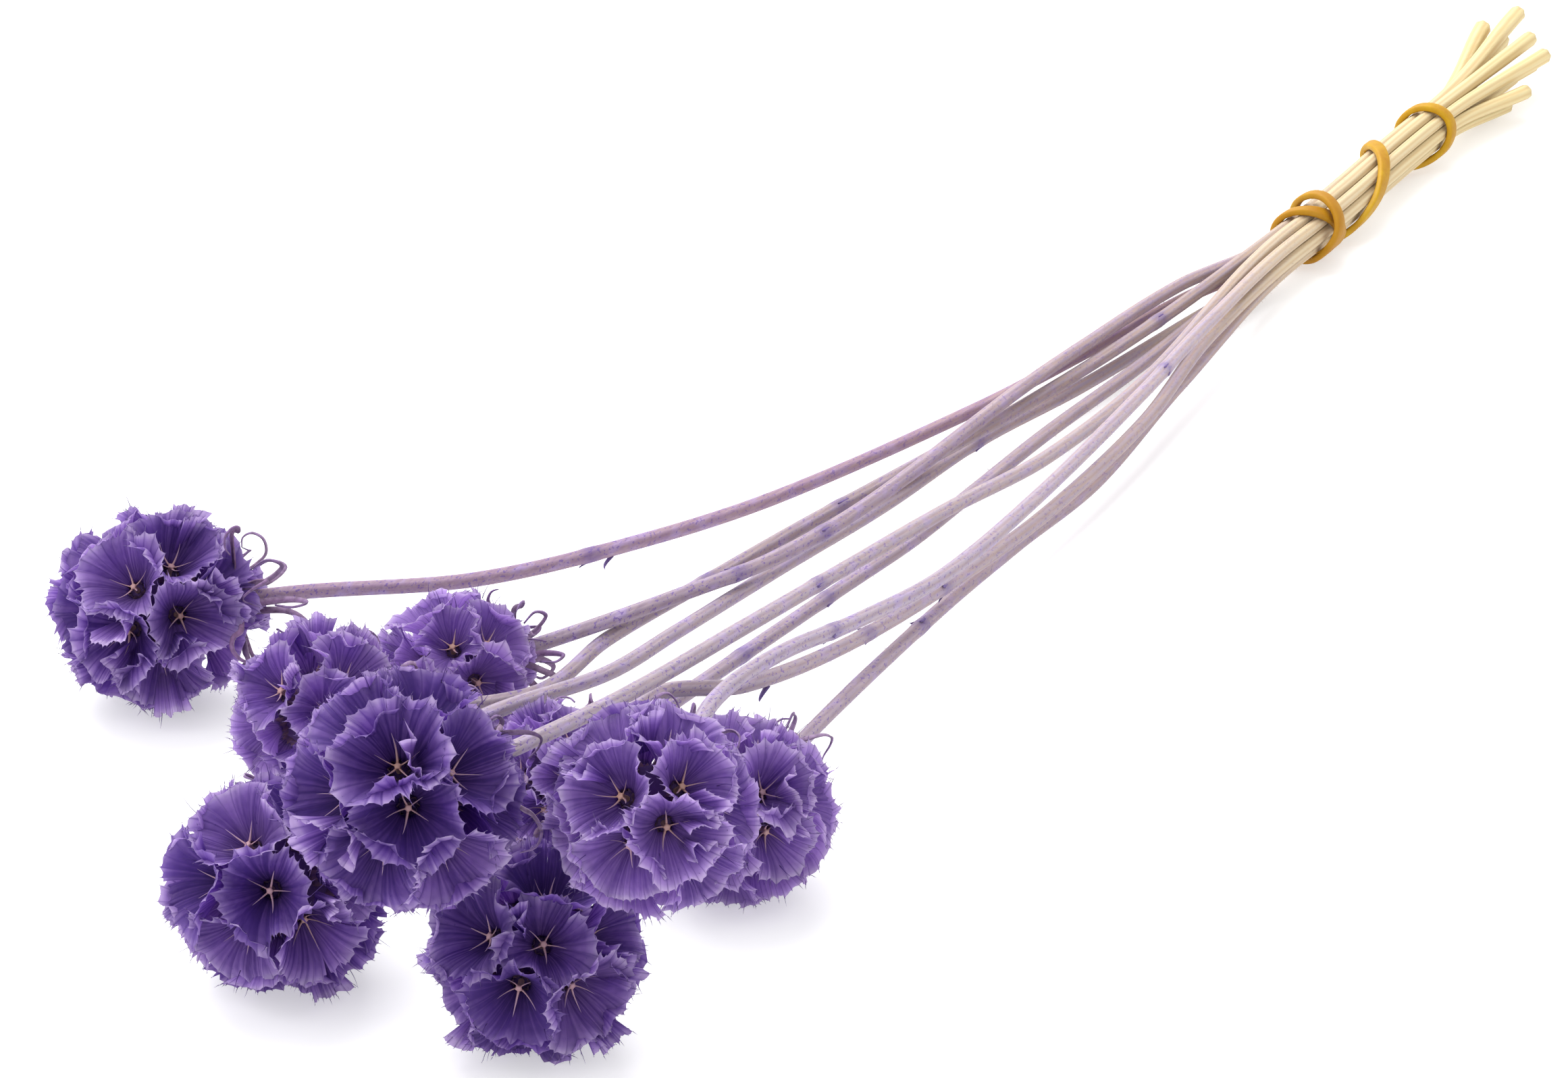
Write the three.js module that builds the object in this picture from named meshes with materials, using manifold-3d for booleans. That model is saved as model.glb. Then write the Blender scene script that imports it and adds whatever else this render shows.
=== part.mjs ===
// Dried starflower scabiosa bunch: nine papery drumstick heads on bare stems, tied with one rubber band.
// Millimetres. The bunch lies on the table z = 0 with the heads towards -X and the cut ends towards +X.
import * as THREE from "three";
import { ConvexHull } from "three/addons/math/ConvexHull.js";
import Module from "manifold-3d";

const wasm = await Module();
wasm.setup();

// Place of the band's first turn on the table. Every position below is given from there.
const TIE = [109, -12, 0];
// Height of the bunch's middle stem where the band holds it, and where the parallel run begins and ends.
const TIE_HEIGHT = 6;
const RUN_START = -11;
const RUN_END = 54;
// The bunch drifts sideways on its way through the band: by this much at the run's start, 0 at its end.
const DRIFT = -2.2;
// In the band eight stems stand on a circle of this radius around the ninth.
const RING_R = 3.1;
// Stem radius behind a head, in the band and at the cut end, and the lengths over which it changes.
const STEM_R_HEAD = 1.12;
const STEM_R_TIE = 1.08;
const STEM_R_CUT = 1.4;
const HEAD_TAPER = 250;
const CUT_TAPER = 50;
// Depth of the grooves between a stem's ridges, as a share of its radius.
const STEM_GROOVE = 0.1;
const STEM_SIDES = 6;
// A stem's tube gets a place between two knots that are further apart than this.
const LONG_STEP = 23;
// Shares of a head's radius: the core's reach towards the stem, the disc of bracts on it, the neck of a cup
// and a star's reach.
const CORE = 0.42;
const DISC = 0.1;
const NECK_OUT = 0.46;
const NECK_R = 0.08;
const STAR_R = 0.24;
// Floor of a cup, and the stalk that carries its star.
const FLOOR_THICK = 0.8;
const STALK_R = 0.5;
const STALK_LENGTH = 1.6;
// Half-angle of a full cup seen from the middle of its head, in degrees, and its spread.
const CUP_HALF = 28.5;
const CUP_HALF_SPREAD = 3;
// Cups cover the head from its pole to this angle, and leave the stem's side open.
const CUP_POLAR_END = 147;
const SETTLE_ROUNDS = 80;
// Wall of a cup measured across its mouth, and the gap left between two rims.
const CUP_WALL = 0.95;
const RIM_GAP = 0.3;
const RIM_POINTS = 12;
const NECK_POINTS = 4;
// Clear gap between two separate pieces.
const GAP = 0.3;
// Curled bracts behind a head: how many, their half-width, and their distance from the stem's middle.
const BRACTS = 4;
const BRACT_R = 0.66;
const BRACT_CLEAR = 2.3;

// One entry per flower. slot is its stem's place on the band's circle in degrees from +Y over the top, or
// null for the stem in the middle, and cut is the middle of the cut end. facing names the directions of the
// cups that show most, as azimuth and elevation in degrees. route holds the places the stem passes on its
// way from the head to the band.
const FLOWERS = {
  a: {
    centre: [-240, 71, 14.6], radius: 15.5, cups: 18, slot: -45, cut: [106, 9.8, 3.8],
    facing: [[-120, 15], [-140, -25], [10, 65], [-175, 45]],
    route: [
      [-227, 54, 16], [-208.5, 36.5, 14.5], [-180, 25, 12], [-152, 17.5, 10], [-103, 9, 8],
      [-73.5, 6.5, 6.5], [-38, 5, 4],
    ],
  },
  b: {
    centre: [-258, 31, 16], radius: 12.9, cups: 15, slot: 45, cut: [112, 9.4, 7.2],
    facing: [[0, 60], [160, 40], [155, -10]],
    route: [
      [-239, 14.5, 13], [-228, 11.5, 11.5], [-208.5, 13.5, 10.5], [-182, 12, 9.5],
      [-155.5, 9.5, 9], [-129.5, 6.5, 8.5], [-101.5, 3.5, 8], [-58, 2, 6.5],
    ],
  },
  c: {
    centre: [-229.5, 26, 11.1], radius: 12.1, cups: 15, slot: 0, cut: [103, 12.5, 6.6],
    facing: [[-155, 55], [-25, 40]],
    route: [
      [-212.5, 15.5, 13], [-195, 10, 12.5], [-174, 5, 11.5], [-147.5, 3, 11], [-101.5, 3.5, 11],
      [-76.5, 4.5, 9.5], [-39, 5, 7],
    ],
  },
  d: {
    centre: [-314, -22, 42], radius: 16, cups: 20, slot: 90, cut: [99.5, 1.5, 7.6],
    facing: [[-145, 15], [140, 65], [-170, -20], [150, 10], [-75, 0], [-30, 40]],
    route: [
      [-289, -22.5, 37.5], [-262, -22, 33], [-226, -19.5, 27.5], [-160.5, -16, 18.5],
      [-126.5, -15.5, 14], [-83, -11, 10],
    ],
  },
  e: {
    centre: [-300, 8, 14.7], radius: 15.6, cups: 18, slot: -90, cut: [92, 1.5, 2.4],
    facing: [[-155, 20], [160, 55], [-125, -10]],
    route: [
      [-268, 10, 18], [-246, 9, 16], [-222, 5.5, 12.5], [-202, 6, 10.5], [-171, 6.5, 8],
      [-140, 6, 6], [-107.5, 6.5, 4.5], [-77.5, 4, 3], [-44, 2, 2],
    ],
  },
  f: {
    centre: [-298, -30, 13.6], radius: 14.8, cups: 18, slot: 180, cut: [80, -6.3, 4.9],
    facing: [[-135, 35], [-110, -10], [160, 35], [-160, -5]],
    route: [
      [-270, -20, 23], [-248, -18, 26], [-231, -22.5, 21.5], [-202.5, -22.5, 15.5],
      [-169, -21, 11], [-133.5, -19, 8], [-92.5, -15.3, 7], [-58, -9.5, 7.4],
    ],
  },
  g: {
    centre: [-299, -49, 40], radius: 14, cups: 17, slot: 135, cut: [93.5, -4, 7.2],
    facing: [[175, 35], [-135, 10], [-170, -10], [-55, 75]],
    route: [
      [-262.5, -37, 37], [-242, -34.5, 34], [-218, -33, 28.5], [-188.5, -31, 23], [-149, -26, 19],
      [-102.5, -19.5, 16.4], [-60, -10.8, 11.6],
    ],
  },
  h: {
    centre: [-249, -32, 12.9], radius: 13.8, cups: 17, slot: -135, cut: [78, -3.5, 2.2],
    facing: [[-115, 40], [-120, 0]],
    route: [
      [-216.5, -27, 11], [-195.5, -24, 9.5], [-164, -19.5, 6.5], [-138.5, -17, 4.5],
      [-110, -15.5, 3], [-71.5, -10.5, 3.6],
    ],
  },
  i: {
    centre: [-251, -5, 10.9], radius: 11.7, cups: 14, slot: null, cut: [94, -1.5, 4.8],
    facing: [[-95, 75]],
    route: [
      [-220, -6, 11], [-174.5, -6.5, 9.5], [-153, -6.5, 8.5], [-128.5, -4.5, 7], [-101, -2.5, 5.5],
      [-62.5, -1, 3.5],
    ],
  },
};

// The rubber band: its strand's width and thickness, the height of one layer of it, and the winding as
// [degrees around the bundle, place along it, layers outwards]. Degrees run from +Y over the top. It winds
// twice at the first turn, then obliquely to the last turn, and returns along the far side. One lap of the
// loop is four turns.
const BAND_WIDTH = 2.4;
const BAND_THICK = 1.3;
const BAND_LAYER = 1.6;
const BAND_STEPS_PER_KNOT = 2;
const BAND_LAP = 1440;
const WINDING = [
  [325, -3.5, 0.3], [270, -1.5, 0], [200, 0, 0], [150, -2.5, 0], [90, -6.5, 0], [30, -8, 0], [-35, -7.5, 0],
  [-90, -6, 0], [-150, -6, 0.1], [-200, -4, 1], [-250, -2, 1], [-300, -1, 0.4], [-360, 0.5, 0],
  [-395, 1.5, 0],
  [-450, 4, 0], [-500, 9, 0], [-550, 17, 0], [-610, 25, 0], [-670, 30, 0], [-720, 33, 0], [-755, 38, 0],
  [-810, 44, 0], [-870, 49, 0], [-930, 51, 0], [-990, 50, 0], [-1050, 48.5, 0], [-1095, 49, 0.5],
  [-1115, 46, 1], [-1115, 40, 1.15], [-1115, 28, 0.4], [-1115, 15, 0.4], [-1115, 5, 1.1], [-1115, 1, 1],
];

const PAPER = { color: 0x6a51a8, roughness: 0.85 };
const STRAW = { color: 0xcfc4bd, roughness: 0.8 };
const BRACT = { color: 0x4a3048, roughness: 0.85 };
const AMBER = { color: 0xd89a1c, roughness: 0.45 };

const rad = THREE.MathUtils.degToRad;
const vec = (p) => new THREE.Vector3(...p);
const placed = (p) => vec(p).add(vec(TIE));

// A repeatable sequence of numbers from 0 to 1.
function sequence(seed) {
  let state = seed >>> 0;
  return () => {
    state = (state + 0x6d2b79f5) >>> 0;
    let t = Math.imul(state ^ (state >>> 15), state | 1);
    t = (t + Math.imul(t ^ (t >>> 7), t | 61)) ^ t;
    return ((t ^ (t >>> 14)) >>> 0) / 4294967296;
  };
}

// A smooth curve through knots, measured along its chords. Knots listed in level run parallel to +X.
function curveThrough(knots, level = []) {
  const last = knots.length - 1;
  const along = [0];
  for (let i = 1; i <= last; i++)
    along.push(along[i - 1] + knots[i].distanceTo(knots[i - 1]));
  const slope = knots.map((_, i) => {
    if (level.includes(i)) return new THREE.Vector3(1, 0, 0);
    const from = Math.max(0, i - 1);
    const to = Math.min(last, i + 1);
    return knots[to].clone().sub(knots[from]).divideScalar(along[to] - along[from]);
  });
  const at = (s) => {
    let i = 0;
    while (i < last - 1 && along[i + 1] < s) i++;
    const h = along[i + 1] - along[i];
    const u = (s - along[i]) / h;
    return new THREE.Vector3()
      .addScaledVector(knots[i], 2 * u ** 3 - 3 * u ** 2 + 1)
      .addScaledVector(slope[i], (u ** 3 - 2 * u ** 2 + u) * h)
      .addScaledVector(knots[i + 1], 3 * u ** 2 - 2 * u ** 3)
      .addScaledVector(slope[i + 1], (u ** 3 - u ** 2) * h);
  };
  return { along, at };
}

// A closed body from a vertex list and triangles.
function body(points, triangles) {
  const mesh = new wasm.Mesh({
    numProp: 3,
    vertProperties: new Float32Array(points.flatMap((p) => [p.x, p.y, p.z])),
    triVerts: new Uint32Array(triangles.flat()),
  });
  return new wasm.Manifold(mesh);
}

// Triangles between ring a and ring b of n vertices, and a fan that closes ring a on one vertex.
const band = (a, b, n) =>
  Array.from({ length: n }, (_, i) => [
    [a + i, a + ((i + 1) % n), b + i],
    [a + ((i + 1) % n), b + ((i + 1) % n), b + i],
  ]).flat();
const fan = (tip, a, n) => Array.from({ length: n }, (_, i) => [tip, a + ((i + 1) % n), a + i]);
const turned = (triangles) => triangles.map(([a, b, c]) => [a, c, b]);

// A tube through places, with its section's corners given at each place as offsets on two side directions.
function tube(places, section, sides) {
  const points = [];
  let side = new THREE.Vector3(0, 0, 1);
  places.forEach((place, k) => {
    const next = places[Math.min(k + 1, places.length - 1)];
    const before = places[Math.max(k - 1, 0)];
    const ahead = next.clone().sub(before).normalize();
    side = side.clone().addScaledVector(ahead, -side.dot(ahead)).normalize();
    const up = ahead.clone().cross(side);
    for (const [u, v] of section(k))
      points.push(place.clone().addScaledVector(side, u).addScaledVector(up, v));
  });
  const triangles = [];
  for (let k = 0; k + 1 < places.length; k++)
    triangles.push(...band(k * sides, (k + 1) * sides, sides));
  const end = points.length;
  points.push(places[0], places[places.length - 1]);
  triangles.push(...fan(end, 0, sides), ...turned(fan(end + 1, (places.length - 1) * sides, sides)));
  return body(points, triangles);
}

// The stem's side of a head, as a unit vector.
const stemward = (flower) => vec(flower.route[0]).sub(vec(flower.centre)).normalize();

// The curve a stem follows, from just behind its head to its cut end. Where its route starts far from the
// head, it first leaves the head straight.
const STRAIGHT_START = 3;
const FAR_START = 9;
function stemCurve(flower) {
  const centre = placed(flower.centre);
  const back = stemward(flower);
  const first = placed(flower.route[0]);
  const reach = flower.slot === null ? 0 : RING_R;
  const y = reach * Math.cos(rad(flower.slot));
  const z = TIE_HEIGHT + reach * Math.sin(rad(flower.slot));
  const knots = [centre.clone().addScaledVector(back, (CORE + DISC) * flower.radius + 2 * GAP)];
  if (first.distanceTo(centre) > flower.radius + FAR_START)
    knots.push(centre.clone().addScaledVector(back, flower.radius + STRAIGHT_START));
  knots.push(first, ...flower.route.slice(1).map(placed));
  knots.push(placed([RUN_START, y + DRIFT, z]), placed([RUN_END, y, z]), placed(flower.cut));
  return curveThrough(knots, [knots.length - 3, knots.length - 2]);
}

// Radius of a stem at distance x from the tie.
function stemRadius(x) {
  const towardsHead = THREE.MathUtils.clamp(-x / HEAD_TAPER, 0, 1);
  const towardsCut = THREE.MathUtils.clamp((x - RUN_END) / CUT_TAPER, 0, 1);
  return STEM_R_TIE + (STEM_R_HEAD - STEM_R_TIE) * towardsHead + (STEM_R_CUT - STEM_R_TIE) * towardsCut;
}

function stem(flower) {
  const { along, at } = stemCurve(flower);
  const stops = along.flatMap((s, i) => {
    const step = along[i + 1] - s;
    const bent = step > LONG_STEP && i !== along.length - 3;
    return bent ? [s, s + step / 2] : [s];
  });
  const places = stops.map(at);
  return tube(
    places,
    (k) => {
      const r = stemRadius(places[k].x - TIE[0]);
      return Array.from({ length: STEM_SIDES }, (_, i) => {
        const turn = (2 * Math.PI * i) / STEM_SIDES;
        const reach = i % 2 ? r * (1 - STEM_GROOVE) : r;
        return [reach * Math.cos(turn), reach * Math.sin(turn)];
      });
    },
    STEM_SIDES,
  );
}

// A unit vector from an azimuth and an elevation in degrees.
function heading([azimuth, elevation]) {
  const flat = Math.cos(rad(elevation));
  const up = Math.sin(rad(elevation));
  return new THREE.Vector3(flat * Math.cos(rad(azimuth)), flat * Math.sin(rad(azimuth)), up);
}

// Directions of a head's cups from its middle. The named ones stay where they face, and the others start on
// a spiral around the pole and push each other apart, as the crowded cups of a real head do.
const POLAR_SPREAD = 0.2;
const TURN_SPREAD = 0.3;
const PUSH = 0.004;
function cupDirections(flower, random) {
  const back = stemward(flower);
  const pole = back.clone().negate();
  const east = new THREE.Vector3(0, 0, 1).cross(pole).normalize();
  const north = pole.clone().cross(east);
  const edge = rad(180 - CUP_POLAR_END);
  const golden = Math.PI * (3 - Math.sqrt(5));
  const directions = Array.from({ length: flower.cups }, (_, i) => {
    const covered = ((i + 0.5) / flower.cups) * (1 + Math.cos(edge));
    const polar = Math.acos(1 - covered) + (random() - 0.5) * POLAR_SPREAD;
    const turn = i * golden + (random() - 0.5) * TURN_SPREAD;
    return new THREE.Vector3()
      .addScaledVector(pole, Math.cos(polar))
      .addScaledVector(east, Math.sin(polar) * Math.cos(turn))
      .addScaledVector(north, Math.sin(polar) * Math.sin(turn));
  });
  const fixed = new Set();
  for (const named of flower.facing.map(heading)) {
    const free = directions.map((d, i) => (fixed.has(i) ? -2 : d.dot(named)));
    const nearest = free.indexOf(Math.max(...free));
    directions[nearest] = named;
    fixed.add(nearest);
  }
  for (let round = 0; round < SETTLE_ROUNDS; round++)
    for (let i = 0; i < directions.length; i++) {
      if (fixed.has(i)) continue;
      const d = directions[i];
      const push = new THREE.Vector3();
      for (const other of directions)
        if (other !== d) push.addScaledVector(d.clone().sub(other), 1 / other.distanceTo(d) ** 4);
      d.addScaledVector(push, PUSH).normalize();
      const lean = d.dot(back);
      if (lean <= Math.cos(edge)) continue;
      d.addScaledVector(back, -lean).normalize().multiplyScalar(Math.sin(edge));
      d.addScaledVector(back, Math.cos(edge));
    }
  return directions;
}

// Angle from axis towards tangent at which a rim meets the middle plane between axis and other.
function halfway(axis, other, tangent) {
  const lean = other.dot(tangent);
  return lean > 1e-6 ? Math.atan((1 - axis.dot(other)) / lean) : Math.PI;
}

// Two directions square to axis.
function sideways(axis) {
  const first = new THREE.Vector3(0, 0, 1).cross(axis);
  if (first.length() < 0.05) first.set(1, 0, 0);
  first.normalize();
  return [first, axis.clone().cross(first)];
}

// A place from out along axis and across at an angle around it, all from centre.
function around(centre, axis) {
  const [u, v] = sideways(axis);
  return (turn, out, across) =>
    centre
      .clone()
      .addScaledVector(axis, out)
      .addScaledVector(u, across * Math.cos(turn))
      .addScaledVector(v, across * Math.sin(turn));
}

// A ring of count points: their first index, how many, and the angle of the first.
const ring = (first, count, from = 0) => ({ first, count, from });

// Triangles between two rings around one axis that differ in count, the lower ring first.
function stitch(low, high) {
  const angle = (r, i) => r.from + (2 * Math.PI * i) / r.count;
  const triangles = [];
  let i = 0;
  let j = 0;
  while (i < low.count || j < high.count) {
    const a = low.first + (i % low.count);
    const b = high.first + (j % high.count);
    if (j >= high.count || (i < low.count && angle(low, i + 1) <= angle(high, j + 1))) {
      triangles.push([a, low.first + ((i + 1) % low.count), b]);
      i++;
    } else {
      triangles.push([a, high.first + ((j + 1) % high.count), b]);
      j++;
    }
  }
  return triangles;
}

// One papery cup with the star of bristles on a stalk inside it. The cup is a funnel on a narrow neck, with
// a notched rim that stops short of its neighbours' rims. The neck is left open for the head's core. A cup's
// lift is the share of the head's radius that its rim reaches.
const LEAST_LIFT = 0.95;
const NOTCH = 0.95;
const LIP = 0.12;
const STAR_RISE = 0.7;
const STAR_ROOM = 0.58;
const CROWN = 0.8;
function addCup(points, triangles, flower, directions, index, random) {
  const R = flower.radius;
  const axis = directions[index];
  const [u, v] = sideways(axis);
  const at = around(placed(flower.centre), axis);
  const neighbours = [...directions.filter((_, i) => i !== index), stemward(flower)];
  const widest = rad(CUP_HALF + (random() - 0.5) * 2 * CUP_HALF_SPREAD);
  const lift = LEAST_LIFT + (1 - LEAST_LIFT) * random();
  const starTurn = (random() * 2 * Math.PI) / 5;
  const neck = ring(points.length, NECK_POINTS);
  for (let i = 0; i < NECK_POINTS; i++)
    points.push(at((2 * Math.PI * i) / NECK_POINTS, NECK_OUT * R, NECK_R * R));
  const outer = ring(points.length, RIM_POINTS);
  const lining = [];
  let narrow = R;
  let mouth = R;
  for (let i = 0; i < RIM_POINTS; i++) {
    const turn = (2 * Math.PI * i) / RIM_POINTS;
    const tangent = u.clone().multiplyScalar(Math.cos(turn)).addScaledVector(v, Math.sin(turn));
    const shared = Math.min(...neighbours.map((n) => halfway(axis, n, tangent))) - RIM_GAP / R;
    const wave = i % 2 ? 0.9 + 0.05 * random() : 0.96 + 0.04 * random();
    const angle = Math.min(widest * wave, shared);
    const reach = R * lift * (i % 2 ? NOTCH + 0.01 * random() : 1);
    const out = reach * Math.cos(angle);
    const across = reach * Math.sin(angle);
    points.push(at(turn, out, across));
    lining.push(at(turn, out + LIP, across - CUP_WALL));
    narrow = Math.min(narrow, across - CUP_WALL);
    mouth = Math.min(mouth, out);
  }
  const inner = ring(points.length, RIM_POINTS);
  points.push(...lining);
  const floor = NECK_OUT * R + FLOOR_THICK;
  const stalk = ring(points.length, 5, starTurn);
  for (let i = 0; i < 5; i++) points.push(at(starTurn + (2 * Math.PI * i) / 5, floor, STALK_R));
  const arms = ring(points.length, 10, starTurn);
  const tipOut = floor + STAR_RISE * (mouth - floor);
  const tipAcross = Math.min(STAR_R * R, STAR_ROOM * narrow);
  for (let i = 0; i < 10; i++) {
    const turn = starTurn + (Math.PI * i) / 5;
    points.push(i % 2 ? at(turn, floor + STALK_LENGTH, STALK_R) : at(turn, tipOut, tipAcross));
  }
  const crown = points.length;
  points.push(at(0, floor + STALK_LENGTH + CROWN, 0));
  triangles.push(
    ...stitch(neck, outer),
    ...stitch(outer, inner),
    ...turned(stitch(stalk, inner)),
    ...stitch(stalk, arms),
    ...turned(fan(crown, arms.first, 10)),
  );
}

// A slab under the table, used to flatten what rests on it.
const SLAB_HALF = [300, 150, 20];
function underTable() {
  const at = (x, y, z) => new THREE.Vector3(x, y, z - 1).multiply(vec(SLAB_HALF));
  const corners = [[-1, -1], [1, -1], [1, 1], [-1, 1]];
  const points = [-1, 1].flatMap((z) => corners.map(([x, y]) => at(x, y, z)));
  points.push(at(0, 0, -1), at(0, 0, 1));
  return body(points, [...band(0, 4, 4), ...fan(8, 0, 4), ...turned(fan(9, 4, 4))]);
}

// A globe of cups around a core. The core is the convex body that spans all their necks.
function head(flower, seed) {
  const random = sequence(seed);
  const directions = cupDirections(flower, random);
  const points = [];
  const triangles = [];
  const neckOf = new Map();
  directions.forEach((_, index) => {
    const first = points.length;
    addCup(points, triangles, flower, directions, index, random);
    for (let i = 0; i < NECK_POINTS; i++) neckOf.set(points[first + i], [index, first + i]);
  });
  for (const face of new ConvexHull().setFromPoints([...neckOf.keys()]).faces) {
    const corners = [face.edge.prev, face.edge, face.edge.next].map((edge) => neckOf.get(edge.head().point));
    if (corners.some(([cup]) => cup !== corners[0][0])) triangles.push(corners.map(([, i]) => i));
  }
  return body(points, triangles).subtract(underTable());
}

// The dried bracts behind a head: a small disc that carries narrow curled strips. The strip's spine is given
// in shares of the head's radius.
const DISC_R = [0.1, 0.13];
const DISC_SIDES = 6;
function involucre(flower, seed) {
  const random = sequence(seed + 500);
  const R = flower.radius;
  const at = around(placed(flower.centre), stemward(flower));
  const near = CORE + GAP / R;
  const points = [];
  const n = DISC_SIDES;
  for (const [out, across] of [[near, DISC_R[0]], [near + DISC, DISC_R[1]]])
    for (let i = 0; i < n; i++) points.push(at((2 * Math.PI * i) / n, out * R, across * R));
  points.push(at(0, near * R, 0), at(0, (near + DISC) * R, 0));
  let solid = body(points, [...band(0, n, n), ...fan(2 * n, 0, n), ...turned(fan(2 * n + 1, n, n))]);
  for (let b = 0; b < BRACTS; b++) {
    const turn = ((b + 0.3 * random()) * 2 * Math.PI) / BRACTS;
    const reach = 0.95 + 0.25 * random();
    const curl = 0.7 + 0.5 * random();
    const spine = [
      [near + DISC / 2, DISC_R[0], 0], [0.72, 0.14, 0.08], [reach, 0.2 * curl, 0.2],
      [reach + 0.2, 0.4 * curl, 0.5], [reach + 0.06, 0.52 * curl, 0.55],
    ].map(([out, across, sway], k) =>
      at(turn + sway * (curl - 0.9), out * R, k ? Math.max(across * R, BRACT_CLEAR) : across * R),
    );
    const strip = (k) => {
      const w = BRACT_R - 0.04 * k;
      return [[w, 0], [-0.6 * w, 0.9 * w], [-0.6 * w, -0.9 * w]];
    };
    solid = solid.add(tube(spine, strip, 3));
  }
  return solid;
}

// The rubber band: one strand in a closed loop, wound around the stems.
function rubberBand() {
  const knots = WINDING.length;
  const value = (i, c) => {
    const lap = Math.floor(i / knots);
    const k = i - lap * knots;
    return WINDING[k][c] - (c === 0 ? lap * BAND_LAP : 0);
  };
  const sample = (t, c) => {
    const i = Math.floor(t);
    const u = t - i;
    const [p, q, r, s] = [value(i - 1, c), value(i, c), value(i + 1, c), value(i + 2, c)];
    return q + 0.5 * u * (r - p + u * (2 * p - 5 * q + 4 * r - s + u * (3 * (q - r) + s - p)));
  };
  const inside = RING_R + STEM_R_TIE + GAP + BAND_THICK / 2;
  const place = (t) => {
    const turn = rad(sample(t, 0));
    const reach = inside + Math.max(0, sample(t, 2)) * BAND_LAYER;
    const x = sample(t, 1);
    const drift = DRIFT * (1 - THREE.MathUtils.smoothstep(x, RUN_START, RUN_END));
    return placed([x, drift + reach * Math.cos(turn), TIE_HEIGHT + reach * Math.sin(turn)]);
  };
  const count = knots * BAND_STEPS_PER_KNOT;
  const points = [];
  const triangles = [];
  for (let k = 0; k < count; k++) {
    const t = k / BAND_STEPS_PER_KNOT;
    const here = place(t);
    const ahead = place(t + 0.05).sub(place(t - 0.05)).normalize();
    const turn = rad(sample(t, 0));
    const outward = new THREE.Vector3(0, Math.cos(turn), Math.sin(turn));
    outward.addScaledVector(ahead, -outward.dot(ahead)).normalize();
    const across = ahead.clone().cross(outward);
    across.multiplyScalar(BAND_WIDTH / 2);
    outward.multiplyScalar(BAND_THICK / 2);
    for (const [w, h] of [[1, 1], [1, -1], [-1, -1], [-1, 1]])
      points.push(here.clone().addScaledVector(across, w).addScaledVector(outward, h));
    triangles.push(...band(4 * k, 4 * ((k + 1) % count), 4));
  }
  return body(points, triangles);
}

// A named mesh from a solid.
function piece(name, solid, { color, roughness }) {
  const made = solid.getMesh();
  const position = new Float32Array(made.numVert * 3);
  for (let i = 0; i < made.numVert; i++)
    position.set(made.vertProperties.subarray(i * made.numProp, i * made.numProp + 3), 3 * i);
  const geometry = new THREE.BufferGeometry()
    .setAttribute("position", new THREE.BufferAttribute(position, 3))
    .setIndex(new THREE.BufferAttribute(new Uint32Array(made.triVerts), 1));
  geometry.computeVertexNormals();
  const mesh = new THREE.Mesh(geometry, new THREE.MeshStandardMaterial({ color, roughness, metalness: 0 }));
  mesh.name = name;
  return mesh;
}

const bunch = new THREE.Group();
Object.entries(FLOWERS).forEach(([key, flower], i) => {
  bunch.add(piece(`head_${key}`, head(flower, 11 + i), PAPER));
  bunch.add(piece(`involucre_${key}`, involucre(flower, 11 + i), BRACT));
  bunch.add(piece(`stem_${key}`, stem(flower), STRAW));
});
bunch.add(piece("rubber_band", rubberBand(), AMBER));

export default bunch;
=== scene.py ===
# %% [markdown]
# # A bunch of dried, dyed starflower scabiosa
# Nine papery globes on bare stems, held by one rubber band, lie on a white table. The solid model already has
# every piece in its place. This notebook gives each piece the fine surface of the real one: pleated paper
# cups, bristle stars, curled bracts, ridged and hairy stems, and the band's soft rubber.

import math

import bpy
import numpy as np
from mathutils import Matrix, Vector


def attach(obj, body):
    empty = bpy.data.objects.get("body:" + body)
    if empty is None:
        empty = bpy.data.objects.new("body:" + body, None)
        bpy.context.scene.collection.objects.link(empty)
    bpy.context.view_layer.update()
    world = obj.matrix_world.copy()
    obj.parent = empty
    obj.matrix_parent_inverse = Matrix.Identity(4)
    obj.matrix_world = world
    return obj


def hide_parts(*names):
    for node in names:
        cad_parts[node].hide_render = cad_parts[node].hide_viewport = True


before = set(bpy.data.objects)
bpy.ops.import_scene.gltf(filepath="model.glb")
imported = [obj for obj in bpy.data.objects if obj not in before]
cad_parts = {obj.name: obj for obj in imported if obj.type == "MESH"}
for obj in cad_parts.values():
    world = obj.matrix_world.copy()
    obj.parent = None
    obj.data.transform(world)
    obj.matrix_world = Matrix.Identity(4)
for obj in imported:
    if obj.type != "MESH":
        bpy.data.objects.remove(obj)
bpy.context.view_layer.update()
MM = 0.001

# %% [markdown]
# The solid model was made in millimetres from a short list of flowers. The same list is used here, so that
# every cup, star and stem grows where its solid is. `facing` holds the directions of the cups that show most,
# and `route` the places a stem passes on its way from the head to the band. `slot` is its place in the band,
# `crumple` says how much the head was crushed in drying, and `pale` how light its dye came out.

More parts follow.
